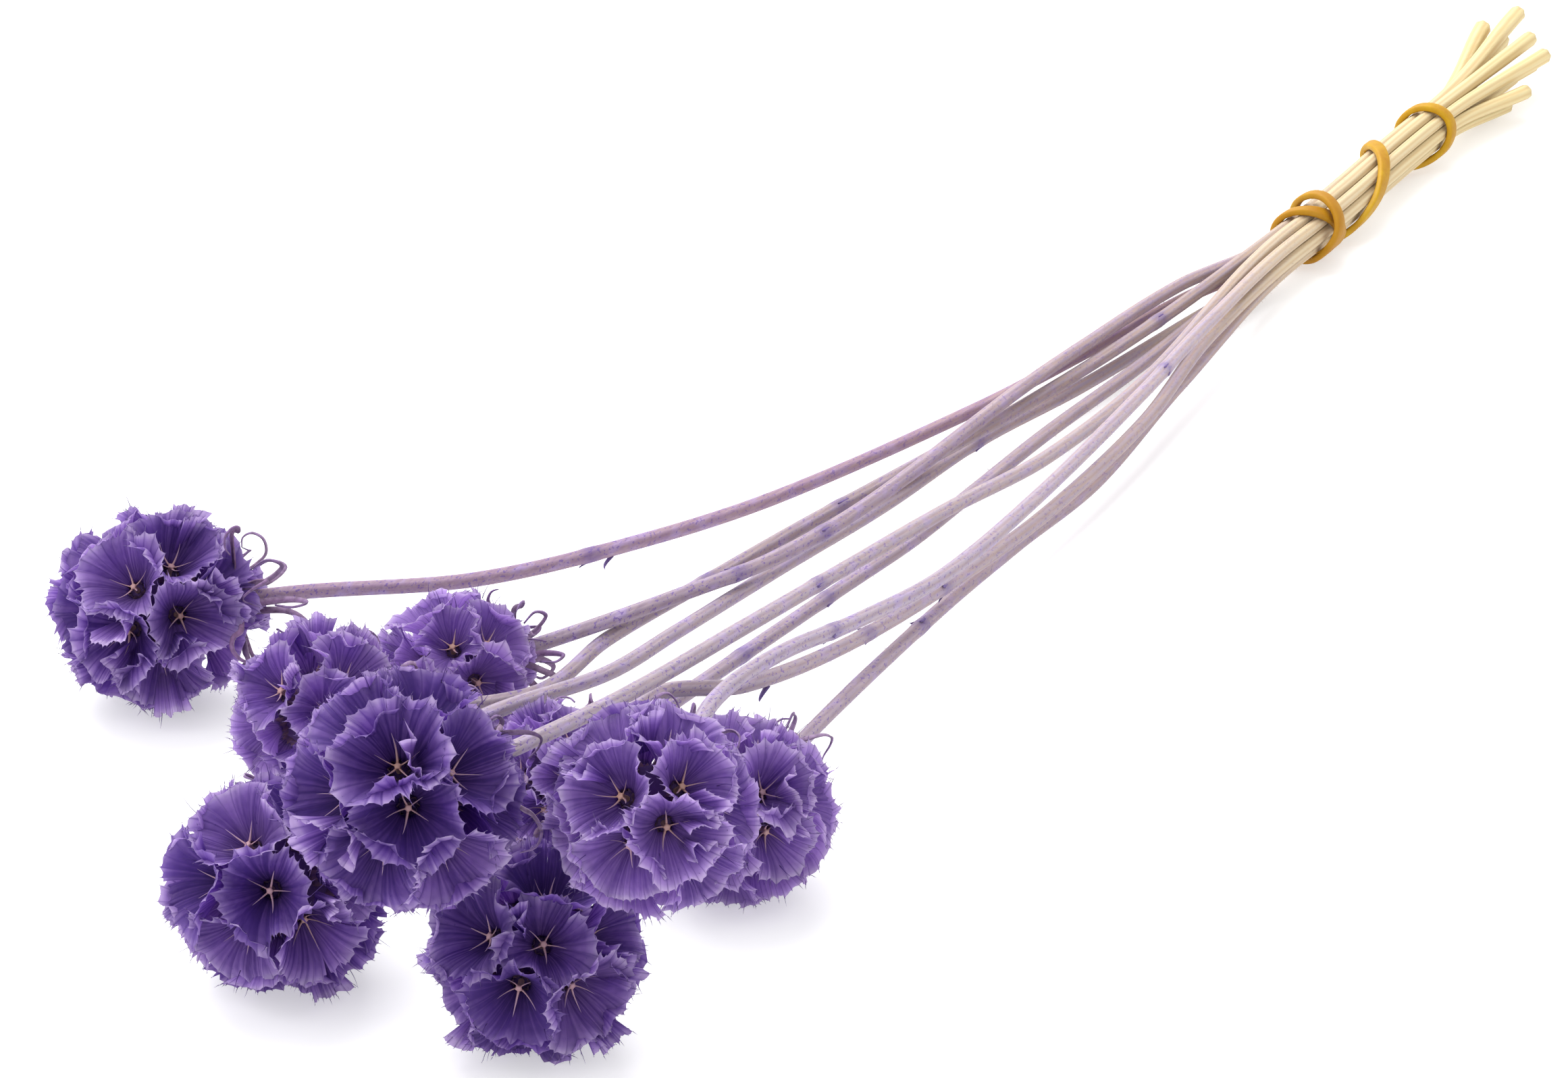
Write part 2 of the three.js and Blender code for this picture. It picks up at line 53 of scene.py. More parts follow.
# %% The nine flowers, in millimetres from the tie
TIE = np.array([109.0, -12.0, 0.0])
FLOWERS = {}
FLOWERS["a"] = dict(
    centre=(-240, 71, 14.6), radius=15.5, cups=18, slot=-45, cut=(106, 9.8, 3.8), crumple=1.0, pale=0.45,
    facing=((-120, 15), (-140, -25), (10, 65), (-175, 45)),
    route=(
        (-227, 54, 16), (-208.5, 36.5, 14.5), (-180, 25, 12), (-152, 17.5, 10), (-103, 9, 8),
        (-73.5, 6.5, 6.5), (-38, 5, 4),
    ),
)
FLOWERS["b"] = dict(
    centre=(-258, 31, 16), radius=12.9, cups=15, slot=45, cut=(112, 9.4, 7.2), crumple=1.0, pale=0.75,
    facing=((0, 60), (160, 40), (155, -10)),
    route=(
        (-239, 14.5, 13), (-228, 11.5, 11.5), (-208.5, 13.5, 10.5), (-182, 12, 9.5), (-155.5, 9.5, 9),
        (-129.5, 6.5, 8.5), (-101.5, 3.5, 8), (-58, 2, 6.5),
    ),
)
FLOWERS["c"] = dict(
    centre=(-229.5, 26, 11.1), radius=12.1, cups=15, slot=0, cut=(103, 12.5, 6.6), crumple=0.6, pale=0.95,
    facing=((-155, 55), (-25, 40)),
    route=(
        (-212.5, 15.5, 13), (-195, 10, 12.5), (-174, 5, 11.5), (-147.5, 3, 11), (-101.5, 3.5, 11),
        (-76.5, 4.5, 9.5), (-39, 5, 7),
    ),
)
FLOWERS["d"] = dict(
    centre=(-314, -22, 42), radius=16, cups=20, slot=90, cut=(99.5, 1.5, 7.6), crumple=0.3, pale=0.3,
    facing=((-145, 15), (140, 65), (-170, -20), (150, 10), (-75, 0), (-30, 40)),
    route=(
        (-289, -22.5, 37.5), (-262, -22, 33), (-226, -19.5, 27.5), (-160.5, -16, 18.5), (-126.5, -15.5, 14),
        (-83, -11, 10),
    ),
)
FLOWERS["e"] = dict(
    centre=(-300, 8, 14.7), radius=15.6, cups=18, slot=-90, cut=(92, 1.5, 2.4), crumple=0.55, pale=0.35,
    facing=((-155, 20), (160, 55), (-125, -10)),
    route=(
        (-268, 10, 18), (-246, 9, 16), (-222, 5.5, 12.5), (-202, 6, 10.5), (-171, 6.5, 8), (-140, 6, 6),
        (-107.5, 6.5, 4.5), (-77.5, 4, 3), (-44, 2, 2),
    ),
)
FLOWERS["f"] = dict(
    centre=(-298, -30, 13.6), radius=14.8, cups=18, slot=180, cut=(80, -6.3, 4.9), crumple=0.5, pale=0.3,
    facing=((-135, 35), (-110, -10), (160, 35), (-160, -5)),
    route=(
        (-270, -20, 23), (-248, -18, 26), (-231, -22.5, 21.5), (-202.5, -22.5, 15.5), (-169, -21, 11),
        (-133.5, -19, 8), (-92.5, -15.3, 7), (-58, -9.5, 7.4),
    ),
)
FLOWERS["g"] = dict(
    centre=(-299, -49, 40), radius=14, cups=17, slot=135, cut=(93.5, -4, 7.2), crumple=0.3, pale=0.6,
    facing=((175, 35), (-135, 10), (-170, -10), (-55, 75)),
    route=(
        (-262.5, -37, 37), (-242, -34.5, 34), (-218, -33, 28.5), (-188.5, -31, 23), (-149, -26, 19),
        (-102.5, -19.5, 16.4), (-60, -10.8, 11.6),
    ),
)
FLOWERS["h"] = dict(
    centre=(-249, -32, 12.9), radius=13.8, cups=17, slot=-135, cut=(78, -3.5, 2.2), crumple=0.4, pale=1.0,
    facing=((-115, 40), (-120, 0)),
    route=(
        (-216.5, -27, 11), (-195.5, -24, 9.5), (-164, -19.5, 6.5), (-138.5, -17, 4.5), (-110, -15.5, 3),
        (-71.5, -10.5, 3.6),
    ),
)
FLOWERS["i"] = dict(
    centre=(-251, -5, 10.9), radius=11.7, cups=14, slot=None, cut=(94, -1.5, 4.8), crumple=0.6, pale=0.6,
    facing=((-95, 75),),
    route=(
        (-220, -6, 11), (-174.5, -6.5, 9.5), (-153, -6.5, 8.5), (-128.5, -4.5, 7), (-101, -2.5, 5.5),
        (-62.5, -1, 3.5),
    ),
)
FIRST_SEED = 11
BRACT_SEED = FIRST_SEED + 500
STEM_SEED = FIRST_SEED + 900
BAND_SEED = FIRST_SEED + 2000
print(len(FLOWERS), "flowers with", sum(flower["cups"] for flower in FLOWERS.values()), "cups")

# %% [markdown]
# Everything below is drawn with a few small tools: unit vectors, turns around an axis, and a repeatable
# sequence of numbers that gives the same draws as the solid model.

# %% Small tools
UP = np.array([0.0, 0.0, 1.0])


def unit(v):
    return v / np.linalg.norm(v)


def placed(p):
    return np.array(p, float) + TIE


def sequence(seed):
    """The solid model's repeatable numbers from 0 to 1."""
    state = seed
    mask = 0xFFFFFFFF

    def draw():
        nonlocal state
        state = (state + 0x6D2B79F5) & mask
        t = ((state ^ (state >> 15)) * (state | 1)) & mask
        t = ((t + (((t ^ (t >> 7)) * (t | 61)) & mask)) & mask) ^ t
        return ((t ^ (t >> 14)) & mask) / 4294967296

    return draw


def sideways(axis):
    """Two directions square to axis."""
    first = np.cross(UP, axis)
    if np.linalg.norm(first) < 0.05:
        first = np.array([1.0, 0.0, 0.0])
    first = unit(first)
    return first, np.cross(axis, first)


def around(centre, axis):
    """Places at a turn around axis, given as distances along it and across it."""
    u, v = sideways(axis)

    def at(turn, out, across):
        turn, out, across = np.broadcast_arrays(*(np.asarray(value, float) for value in (turn, out, across)))
        sideward = np.cos(turn)[..., None] * u + np.sin(turn)[..., None] * v
        return centre + out[..., None] * axis + across[..., None] * sideward

    return at


def around_head(flower, axis):
    """Places at a turn around an axis through a head's centre."""
    return around(placed(flower["centre"]), axis)


# %% [markdown]
# A piece grows from many small surfaces. A pile gathers their points and faces until they become one mesh.
# Each point also carries three marks, which the materials read to know where on the plant they are.

# %% Faces, and the pile that gathers them
TABLE_CLEAR = 0.05


def grid_faces(rows, columns, closed=True):
    """Quads between rows of points, closed around each row or left open."""
    last = columns if closed else columns - 1
    row, column = np.meshgrid(np.arange(rows - 1), np.arange(last), indexing="ij")
    here = row * columns + column
    ahead = row * columns + (column + 1) % columns
    return np.stack([here, ahead, ahead + columns, here + columns], -1).reshape(-1, 4)


def cap_faces(first, count, tip, turned=False):
    """Triangles that close a ring of points, from the ring's first point on, with one point more."""
    ring = [(first + i, first + (i + 1) % count) for i in range(count)]
    return [[tip, b, a] if turned else [tip, a, b] for a, b in ring]


class Pile:
    """Gathers the points, faces and marks of one piece."""

    def __init__(self):
        self.points = []
        self.marks = []
        self.faces = []
        self.kinds = []
        self.count = 0

    def add(self, points, faces, marks, kind=0):
        points = np.asarray(points, float).reshape(-1, 3)
        self.points.append(points)
        self.marks.append(np.broadcast_to(np.asarray(marks, float), (len(points), 3)))
        corners = faces.tolist() if isinstance(faces, np.ndarray) else faces
        self.faces += [[i + self.count for i in face] for face in corners]
        self.kinds += [kind] * len(faces)
        self.count += len(points)

    def make(self, name, node, materials):
        """Turns the pile into a piece that stands for a CAD node."""
        points = np.concatenate(self.points)
        points[:, 2] = np.maximum(points[:, 2], TABLE_CLEAR)
        mesh = bpy.data.meshes.new(name)
        mesh.from_pydata((points * MM).tolist(), [], self.faces)
        marks = np.ones((len(points), 4))
        marks[:, :3] = np.concatenate(self.marks)
        mesh.attributes.new("marks", "FLOAT_COLOR", "POINT").data.foreach_set("color", marks.ravel())
        for material in materials:
            mesh.materials.append(material)
        mesh.polygons.foreach_set("material_index", self.kinds)
        mesh.shade_smooth()
        mesh.update()
        piece = bpy.data.objects.new(name, mesh)
        bpy.context.scene.collection.objects.link(piece)
        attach(piece, "root")
        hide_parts(node)
        return sum(len(face) - 2 for face in self.faces)


def between(p, q, r, s, t):
    """A smooth curve's place at share t of the way from q to r. It comes from p and goes on to s."""
    return q + 0.5 * t * (r - p + t * (2 * p - 5 * q + 4 * r - s + t * (3 * (q - r) + s - p)))


def smooth_path(knots, steps):
    """Points on a smooth curve through knots, a number of steps from each knot to the next."""
    knots = np.asarray(knots, float)
    padded = np.vstack([2 * knots[0] - knots[1], knots, 2 * knots[-1] - knots[-2]])
    path = []
    for k in range(len(knots) - 1):
        path += [between(*padded[k : k + 4], t) for t in np.arange(steps) / steps]
    path.append(knots[-1])
    return np.array(path)


# %% [markdown]
# Bristles, bracts and stems are all tubes: a closed outline is carried along a path and turned with it, so
# that it never twists by itself. The outline may change on the way.

# %% A tube along a path
def tube(path, section, first_side=UP, capped=True):
    """Points and faces of a tube: section(k) gives its corners at point k as offsets on two sides."""
    points = []
    side = np.asarray(first_side, float)
    for k, place in enumerate(path):
        ahead = unit(path[min(k + 1, len(path) - 1)] - path[max(k - 1, 0)])
        side = unit(side - side.dot(ahead) * ahead)
        up = np.cross(ahead, side)
        corners = np.asarray(section(k), float)
        points.append(place + corners[:, :1] * side + corners[:, 1:] * up)
    sides = len(points[0])
    faces = grid_faces(len(path), sides).tolist()
    points = np.concatenate(points)
    if capped:
        end = len(points)
        points = np.vstack([points, path[0], path[-1]])
        faces += cap_faces(0, sides, end, turned=True) + cap_faces(end - sides, sides, end + 1)
    return points, faces


# %% [markdown]
# A head is a globe of cups around a small core. In the real flower head every fruit grew against its
# neighbours, so the cups share the globe about evenly. The directions are found as in the solid model: the
# named ones stay, and the others push each other apart for a number of rounds.

# %% Directions of the cups
CUP_POLAR_END = math.radians(147)
POLAR_SPREAD = 0.2
TURN_SPREAD = 0.3
SETTLE_ROUNDS = 80
PUSH = 0.004
GOLDEN = math.pi * (3 - math.sqrt(5))


def stemward(flower):
    return unit(np.subtract(flower["route"][0], flower["centre"]))


def heading(azimuth, elevation):
    azimuth, elevation = math.radians(azimuth), math.radians(elevation)
    flat = math.cos(elevation)
    return np.array([flat * math.cos(azimuth), flat * math.sin(azimuth), math.sin(elevation)])


def cup_directions(flower, draw):
    back = stemward(flower)
    pole = -back
    east = unit(np.cross(UP, pole))
    north = np.cross(pole, east)
    edge = math.pi - CUP_POLAR_END
    count = flower["cups"]
    directions = np.empty((count, 3))
    for i in range(count):
        polar = math.acos(1 - ((i + 0.5) / count) * (1 + math.cos(edge)))
        polar += (draw() - 0.5) * POLAR_SPREAD
        turn = i * GOLDEN + (draw() - 0.5) * TURN_SPREAD
        sideward = math.cos(turn) * east + math.sin(turn) * north
        directions[i] = math.cos(polar) * pole + math.sin(polar) * sideward
    fixed = set()
    for named in flower["facing"]:
        named = heading(*named)
        near = directions @ named
        near[list(fixed)] = -2
        directions[near.argmax()] = named
        fixed.add(int(near.argmax()))
    free = [i for i in range(count) if i not in fixed]
    for _ in range(SETTLE_ROUNDS):
        for i in free:
            apart = directions[i] - np.delete(directions, i, axis=0)
            push = (apart / (apart**2).sum(1)[:, None] ** 2).sum(0)
            moved = unit(directions[i] + PUSH * push)
            lean = moved.dot(back)
            if lean > math.cos(edge):
                moved = unit(moved - lean * back) * math.sin(edge) + back * math.cos(edge)
            directions[i] = moved
    return directions


# %% [markdown]
# Each cup is a thin paper funnel, like a small umbrella blown inside out. Its draws come in the solid model's
# order, so its width and its place are the solid's. Where a neighbour presses on the rim the funnel is
# narrower and reaches further out, and the cup that stands higher laps over the lower one.

# %% The rim of a cup
NECK_OUT = 0.46
NECK_R = 0.08
CUP_HALF = 28.5
CUP_HALF_SPREAD = 3
RIM_POINTS = 12
LIFT_MIDDLE = 0.975
LIFT_GROWN = 1.9
LAP_LOW = 0.35
LAP_HIGH = 1.2
LAP_STEP = 0.03
MEETING_POWER = 12
SQUEEZE = 0.9
WIDER = (0.9, 1.12)


def cup_shape(flower, draw):
    """The draws that shape one cup in the solid model, in their order."""
    shape = {
        "widest": math.radians(CUP_HALF + (draw() - 0.5) * 2 * CUP_HALF_SPREAD),
        "lift": 0.95 + 0.05 * draw(),
        "star_turn": draw() * math.tau / 5,
    }
    wave, reach = [], []
    for i in range(RIM_POINTS):
        wave.append(0.9 + 0.05 * draw() if i % 2 else 0.96 + 0.04 * draw())
        reach.append(0.95 + 0.01 * draw() if i % 2 else 1.0)
    shape["wave"] = np.array(wave)
    shape["reach"] = np.array(reach)
    return shape


def rim_of(flower, directions, shapes, index, turn):
    """Half-angle and reach of a cup's rim at each turn around it."""
    R = flower["radius"]
    shape = shapes[index]
    axis = directions[index]
    u, v = sideways(axis)
    tangent = np.cos(turn)[:, None] * u + np.sin(turn)[:, None] * v
    others = np.vstack([np.delete(directions, index, axis=0), stemward(flower)])
    lifts = np.append(np.delete([s["lift"] for s in shapes], index), shape["lift"])
    lean = others @ tangent.T
    met = np.where(lean > 1e-6, np.arctan2(1 - (others @ axis)[:, None], np.maximum(lean, 1e-6)), math.pi)
    above = 0.5 + 0.5 * np.clip((shape["lift"] - lifts) / LAP_STEP, -1, 1)
    lap = LAP_LOW + (LAP_HIGH - LAP_LOW) * above
    shared = (met + (lap / R)[:, None]).min(0)
    spots = np.arange(RIM_POINTS) * math.tau / RIM_POINTS
    widest = shape["grown"] * shape["widest"] * np.interp(turn, spots, shape["wave"], period=math.tau)
    half = (widest**-MEETING_POWER + shared**-MEETING_POWER) ** (-1 / MEETING_POWER)
    lift = LIFT_MIDDLE + LIFT_GROWN * (shape["lift"] - LIFT_MIDDLE)
    reach = R * lift * np.interp(turn, spots, shape["reach"], period=math.tau)
    return half, reach


print("a cup spans", 2 * CUP_HALF, "degrees, give or take", 2 * CUP_HALF_SPREAD)

# %% [markdown]
# The paper is pleated at every rib, and the ribs end in hair-thin tips past the paper. Between the whole cups
# stand fans, the remains of cups that were crushed flat. A head that was crushed more has more of them.

# %% Fringes and fans
RIBS = 34
RIB_COLUMNS = np.array([0.0, 0.17, 0.5, 0.83])
RIB_MARKS = np.array([1.0, 0.0, 0.4, 0.0])
RIB_PLEATS = np.array([1.0, -0.3, -1.0, -0.3])
PLEAT = 0.06
STREAK = 0.3
FRINGE = (0.2, 0.95)
FRINGE_BOW = 0.15
HAIR_FOOT = 0.06
FAN_RINGS = np.linspace(0.3, 1, 9)
FAN_RIBS = (8, 15)
FAN_RIB_TURN = (0.12, 0.22)
FAN_HALF = (9, 19)
FAN_REACH = (0.94, 1.07)
FAN_WAVE = 1.6
PAPER, BRISTLE, CORE = range(3)


def ripple(turn, random, orders, amount):
    """A smooth closed wave around a rim."""
    phases = random.uniform(0, math.tau, len(orders))
    sizes = random.uniform(0.3, 1, len(orders))
    wave = sum(size * np.cos(order * turn + phase) for size, order, phase in zip(sizes, orders, phases))
    return amount * wave / sizes.sum()


def add_fringe(pile, inner, rim, tint, random):
    """Hair-thin rib ends that reach past the paper. inner and rim are points on each rib."""
    ahead = rim - inner
    ahead /= np.linalg.norm(ahead, axis=1)[:, None]
    beside = np.cross(ahead, np.roll(rim, 1, axis=0) - rim)
    beside /= np.linalg.norm(beside, axis=1)[:, None]
    third = np.cross(ahead, beside)
    length = FRINGE[0] + FRINGE[1] * random.uniform(0, 1, len(rim)) ** 2
    bow = random.uniform(-FRINGE_BOW, FRINGE_BOW, (len(rim), 1))
    tip = rim + length[:, None] * ahead + bow * third
    foot = [rim + HAIR_FOOT * (math.cos(a) * beside + math.sin(a) * third) for a in (0, 2.1, 4.2)]
    points = np.stack([*foot, tip], 1).reshape(-1, 3)
    corners = np.array([(0, 1, 3), (1, 2, 3), (2, 0, 3), (0, 2, 1)])
    faces = (4 * np.arange(len(rim))[:, None, None] + corners).reshape(-1, 3)
    pile.add(points, faces, (1, 1, tint), PAPER)


def add_fan(pile, flower, directions, tint, random):
    """The remains of a crushed cup: part of a narrow funnel that stands between two cups."""
    R = flower["radius"]
    first = directions[random.integers(len(directions))]
    near = np.argsort(-(directions @ first))[1:4]
    between = unit(first + directions[random.choice(near)]) + random.uniform(-0.08, 0.08, 3)
    at = around_head(flower, unit(between))
    ribs = int(random.integers(*FAN_RIBS))
    columns = 4 * ribs + 1
    place = np.append((np.arange(ribs)[:, None] + RIB_COLUMNS).ravel(), ribs) / ribs
    rib = np.append(np.tile(RIB_MARKS, ribs), 1)
    pleat = np.append(np.tile(RIB_PLEATS, ribs), 1)
    turn = random.uniform(0, math.tau) + place * ribs * random.uniform(*FAN_RIB_TURN)
    ends = 0.06 * np.sin(math.pi * place) + ripple(turn * 4, random, (1, 2, 3), 0.05)
    ends += random.uniform(-0.015, 0.02, columns)
    t = FAN_RINGS[:, None] * (1 + ends)
    half = math.radians(random.uniform(*FAN_HALF))
    reach = R * random.uniform(*FAN_REACH)
    bend = ripple(turn * 3, random, (1, 2, 3), FAN_WAVE) * t**2 + 2 * PLEAT * pleat * t
    out = NECK_OUT * R + (reach * math.cos(half) - NECK_OUT * R) * t
    across = NECK_R * R + (reach * math.sin(half) - NECK_R * R) * t**1.1 + bend
    points = at(turn, out, np.maximum(across, 0.3))
    streaks = random.uniform(-STREAK, STREAK, columns)
    marks = np.stack([rib + 0 * t, t, np.clip(tint + streaks, 0, 1) + 0 * t], -1)
    add_fringe(pile, points[-2, ::4], points[-1, ::4], tint, random)
    pile.add(points, grid_faces(len(FAN_RINGS), columns, closed=False), marks.reshape(-1, 3), PAPER)


print("each cup has", RIBS, "ribs")

# %% [markdown]
# A cup's sheet is a grid: 13 rings from neck to rim, and four columns for every rib. Slow waves bend it,
# quicker ones ripple its edge, and chips, creases and tears make every cup different, as drying does. A tear
# is a real cut in the sheet: the points on its left side are doubled and swing the other way.

# %% One papery cup
CUP_RINGS = np.array([0, 0.1, 0.2, 0.3, 0.4, 0.5, 0.59, 0.68, 0.76, 0.84, 0.91, 0.965, 1.0])
TURN = ((np.arange(RIBS)[:, None] + RIB_COLUMNS) * math.tau / RIBS).ravel()
COLUMNS = len(TURN)
EDGE_TEETH = np.array([0.012, -0.008, -0.014, -0.008])
EDGE_WAVE = 0.045
EDGE_NOISE = 0.014
CHIP_WIDTH = (0.05, 0.2)
CHIP_DEPTH = (0.03, 0.1)
BENDS = (((2, 3, 4, 5), 1.0, 2.6, 2.2), ((6, 7, 9, 11), 0.75, 0, 3), ((13, 17, 21), 0.35, 0, 4))
RIM_FLARE = 0.6
CREASE_WIDTH = (0.06, 0.2)
TEAR_DEPTH = (0.4, 0.8)
TEAR_OPEN = (0.02, 0.06)
TEAR_LIFT = 0.6
TEAR_FADE = 0.25
TEARS_APART = 12
TUBE_POWER = 0.95
FLANGE_POWERS = (1.0, 1.4)


def closeness(turn, place, width):
    """1 at a place around the rim, falling to 0 away from it."""
    gap = np.angle(np.exp(1j * (turn - place)))
    return np.exp(-((gap / width) ** 2))


def rim_ends(crushed, random):
    """How far each column of the sheet goes past the rim or falls short of it."""
    on_rib = np.tile(RIB_MARKS, RIBS) == 1
    ends = np.tile(EDGE_TEETH, RIBS) + ripple(TURN, random, (5, 8, 13), EDGE_WAVE)
    ends += random.uniform(-EDGE_NOISE, EDGE_NOISE, COLUMNS) + 0.004 * on_rib
    for _ in range(random.integers(1, 4 + round(5 * crushed))):
        edge_highlight = closeness(TURN, random.uniform(0, math.tau), random.uniform(*CHIP_WIDTH)) > 0.5
        ends[edge_highlight & ~on_rib] -= random.uniform(*CHIP_DEPTH)
    return ends


def sheet_bends(t, crushed, random):
    """How far the sheet is bent out of the funnel's smooth form."""
    bend = np.zeros_like(t)
    for orders, size, when_crushed, power in BENDS:
        bend += ripple(TURN, random, orders, size + when_crushed * crushed) * t**power
    bend += PLEAT * (1 + crushed) * np.tile(RIB_PLEATS, RIBS) * t
    bend += RIM_FLARE * random.uniform(0.3, 1.3) * np.clip((t - 0.72) / 0.28, 0, 1.3) ** 2
    for _ in range(random.integers(0, 3 + round(4 * crushed))):
        crease = closeness(TURN, random.uniform(0, math.tau), random.uniform(*CREASE_WIDTH))
        bend -= random.uniform(0.4, 1.1 + 1.2 * crushed) * crease * t**2
    return bend


def find_tears(bend, swing, crushed, random):
    """Draws the tears and opens the sheet beside them: their columns, and the last ring that is whole."""
    tears = []
    for _ in range(random.integers(0, 2 + round(4 * crushed))):
        column = 4 * int(random.integers(RIBS)) + 2
        if any(abs(column - other) < TEARS_APART for other, _ in tears):
            continue
        depth = random.uniform(*TEAR_DEPTH)
        opened = np.clip((CUP_RINGS - depth) / (1 - depth), 0, 1)[:, None]
        gap = np.angle(np.exp(1j * (TURN - TURN[column])))
        fade = np.where(gap >= -1e-9, 1, -1) * np.exp(-np.abs(gap) / TEAR_FADE) * opened
        swing += random.uniform(*TEAR_OPEN) * fade
        bend += random.uniform(-TEAR_LIFT, TEAR_LIFT) * fade
        tears.append((column, int((opened[:, 0] <= 0).sum()) - 1))
    return tears


def cut_tears(points, marks, faces, tears, left_edge):
    """Cuts the grid at each tear and gives its left side points of its own."""
    for column, last_whole in tears:
        first = len(points)
        points = np.vstack([points, left_edge(column)])
        marks = np.vstack([marks, marks[column + np.arange(len(CUP_RINGS)) * COLUMNS]])
        for ring in range(last_whole + 1, len(CUP_RINGS)):
            old = ring * COLUMNS + column
            for here, beside in ((1, 0), (2, 3)):
                left = (faces[:, here] == old) & (faces[:, beside] == old - 1)
                faces[left, here] = first + ring
    return points, marks


def add_cup(pile, flower, directions, shapes, index, tint, random):
    """A whole cup. It gives back how far out the lowest place of its mouth is."""
    R = flower["radius"]
    at = around_head(flower, directions[index])
    half, reach = rim_of(flower, directions, shapes, index, TURN)
    neck_out, neck_r = NECK_OUT * R, NECK_R * R
    across = reach * np.sin(half)
    free = shapes[index]["grown"] * shapes[index]["widest"]
    slant = np.hypot(reach * math.cos(free) - neck_out, reach * math.sin(free) - neck_r)
    squeezed = neck_out + np.sqrt(np.maximum(slant**2 - (across - neck_r) ** 2, 1))
    out = (1 - SQUEEZE) * reach * np.cos(half) + SQUEEZE * squeezed

    crushed = flower["crumple"] * random.uniform(0.1, 1)
    t = CUP_RINGS[:, None] * (1 + rim_ends(crushed, random))
    bend = sheet_bends(t, crushed, random)
    swing = 0.25 * ripple(TURN, random, (2, 3), 1) * t**2
    flange = random.uniform(*FLANGE_POWERS)
    tears = find_tears(bend, swing, crushed, random)

    def surface(columns, bent, swung):
        rise = out[columns] - neck_out
        widen = across[columns] - neck_r
        length = np.hypot(rise, widen)
        here = t[:, columns]
        o = neck_out + rise * here**TUBE_POWER - bent * widen / length
        a = neck_r + widen * here**flange + bent * rise / length
        return at(TURN[columns] + swung, o, np.maximum(a, 0.3))

    def left_edge(column):
        return surface(np.array([column]), bend[:, [column - 1]], swing[:, [column - 1]])[:, 0]

    points = surface(np.arange(COLUMNS), bend, swing)
    add_fringe(pile, points[-2, ::4], points[-1, ::4], tint, random)
    points = points.reshape(-1, 3)
    marks = np.empty((*t.shape, 3))
    marks[..., 0] = np.tile(RIB_MARKS, RIBS)
    marks[..., 1] = t
    streaks = random.uniform(-STREAK, STREAK, COLUMNS) + random.uniform(-STREAK / 3, STREAK / 3, t.shape)
    marks[..., 2] = np.clip(tint + streaks, 0, 1)
    faces = grid_faces(len(CUP_RINGS), COLUMNS)
    points, marks = cut_tears(points, marks.reshape(-1, 3), faces, tears, left_edge)
    used = np.unique(faces)
    fresh = np.zeros(len(points), int)
    fresh[used] = np.arange(len(used))
    faces = fresh[faces].tolist() + cap_faces(0, COLUMNS, len(used))
    points = np.vstack([points[used], at(0, neck_out - 0.5, 0)])
    pile.add(points, faces, np.vstack([marks[used], (0, 0, tint)]), PAPER)
    return out.min()


print("a cup's sheet has", len(CUP_RINGS), "rings of", COLUMNS, "points")

# %% [markdown]
# In every cup stands a star of five stiff bristles, the dried calyx, on a short stalk. Its arms are flat at
# the root and thin as a hair at the tip.

# %% Stars
FLOOR_THICK = 0.8
STALK_LENGTH = 1.6
STAR_R = 0.19
ARM_WIDTH = 0.4
ARM_THICK = 0.2
ARM_STEPS = 7
STALK_SIDES = 10


def add_spike(pile, path, width, thickness, marks_from, marks_to, kind):
    """A tapering bristle with a diamond section."""
    count = len(path)
    share = np.linspace(0, 1, count)

    def section(k):
        thin = (1 - share[k]) ** 0.7 + 0.06
        w, h = width * thin / 2, thickness * thin / 2
        return [(w, 0), (0, h), (-w, 0), (0, -h)]

    start = unit(path[1] - path[0])
    side = np.cross(start, UP if abs(start[2]) < 0.9 else np.array([1.0, 0, 0]))
    points, faces = tube(path, section, side)
    marks = np.outer(1 - share, marks_from) + np.outer(share, marks_to)
    marks = np.vstack([np.repeat(marks, 4, axis=0), marks_from, marks_to])
    pile.add(points, faces, marks, kind)


def add_star(pile, flower, directions, shapes, index, mouth, random):
    """Five bristles on a stalk. They end about half way from its top to the cup's mouth."""
    R = flower["radius"]
    at = around_head(flower, directions[index])
    floor = NECK_OUT * R + FLOOR_THICK
    base = floor + 0.4 * STALK_LENGTH
    tint = random.uniform(0, 1)
    turns = shapes[index]["star_turn"] + np.arange(5) * math.tau / 5
    for turn in turns:
        s = np.linspace(0, 1, ARM_STEPS)
        length = STAR_R * R * random.uniform(0.85, 1.15)
        sway = random.uniform(-0.15, 0.15)
        rise = (0.5 + 0.12 * random.uniform(-1, 1)) * (mouth - base)
        path = at(turn + sway * s**2, base + rise * (0.25 * s + 0.75 * s**1.6), 0.25 + (length - 0.25) * s)
        add_spike(pile, path, ARM_WIDTH, ARM_THICK, (0, 0, tint), (0, 1, tint), BRISTLE)
    ring = np.arange(STALK_SIDES) * math.tau / STALK_SIDES
    rows = [
        at(ring, floor - 0.9, 0.42), at(ring, base - 0.2, 0.36),
        at(ring + shapes[index]["star_turn"], base + 0.15, np.tile([0.6, 0.42], 5)),
        at(ring + shapes[index]["star_turn"], base + 0.38, np.tile([0.45, 0.3], 5)),
    ]
    points = np.vstack([*rows, at(0, base + 0.3, 0)])
    tip = len(points) - 1
    faces = grid_faces(len(rows), STALK_SIDES).tolist() + cap_faces(tip - STALK_SIDES, STALK_SIDES, tip)
    pile.add(points, faces, (0.4, 0.1, tint), BRISTLE)


print("points along a star's arm:", ARM_STEPS)

# %% [markdown]
# Below each cup the fruit itself shows where the cups part: a short ribbed barrel, tan and hairy. All fruits
# sit on a lumpy core, and a few bristles reach out past the rims.

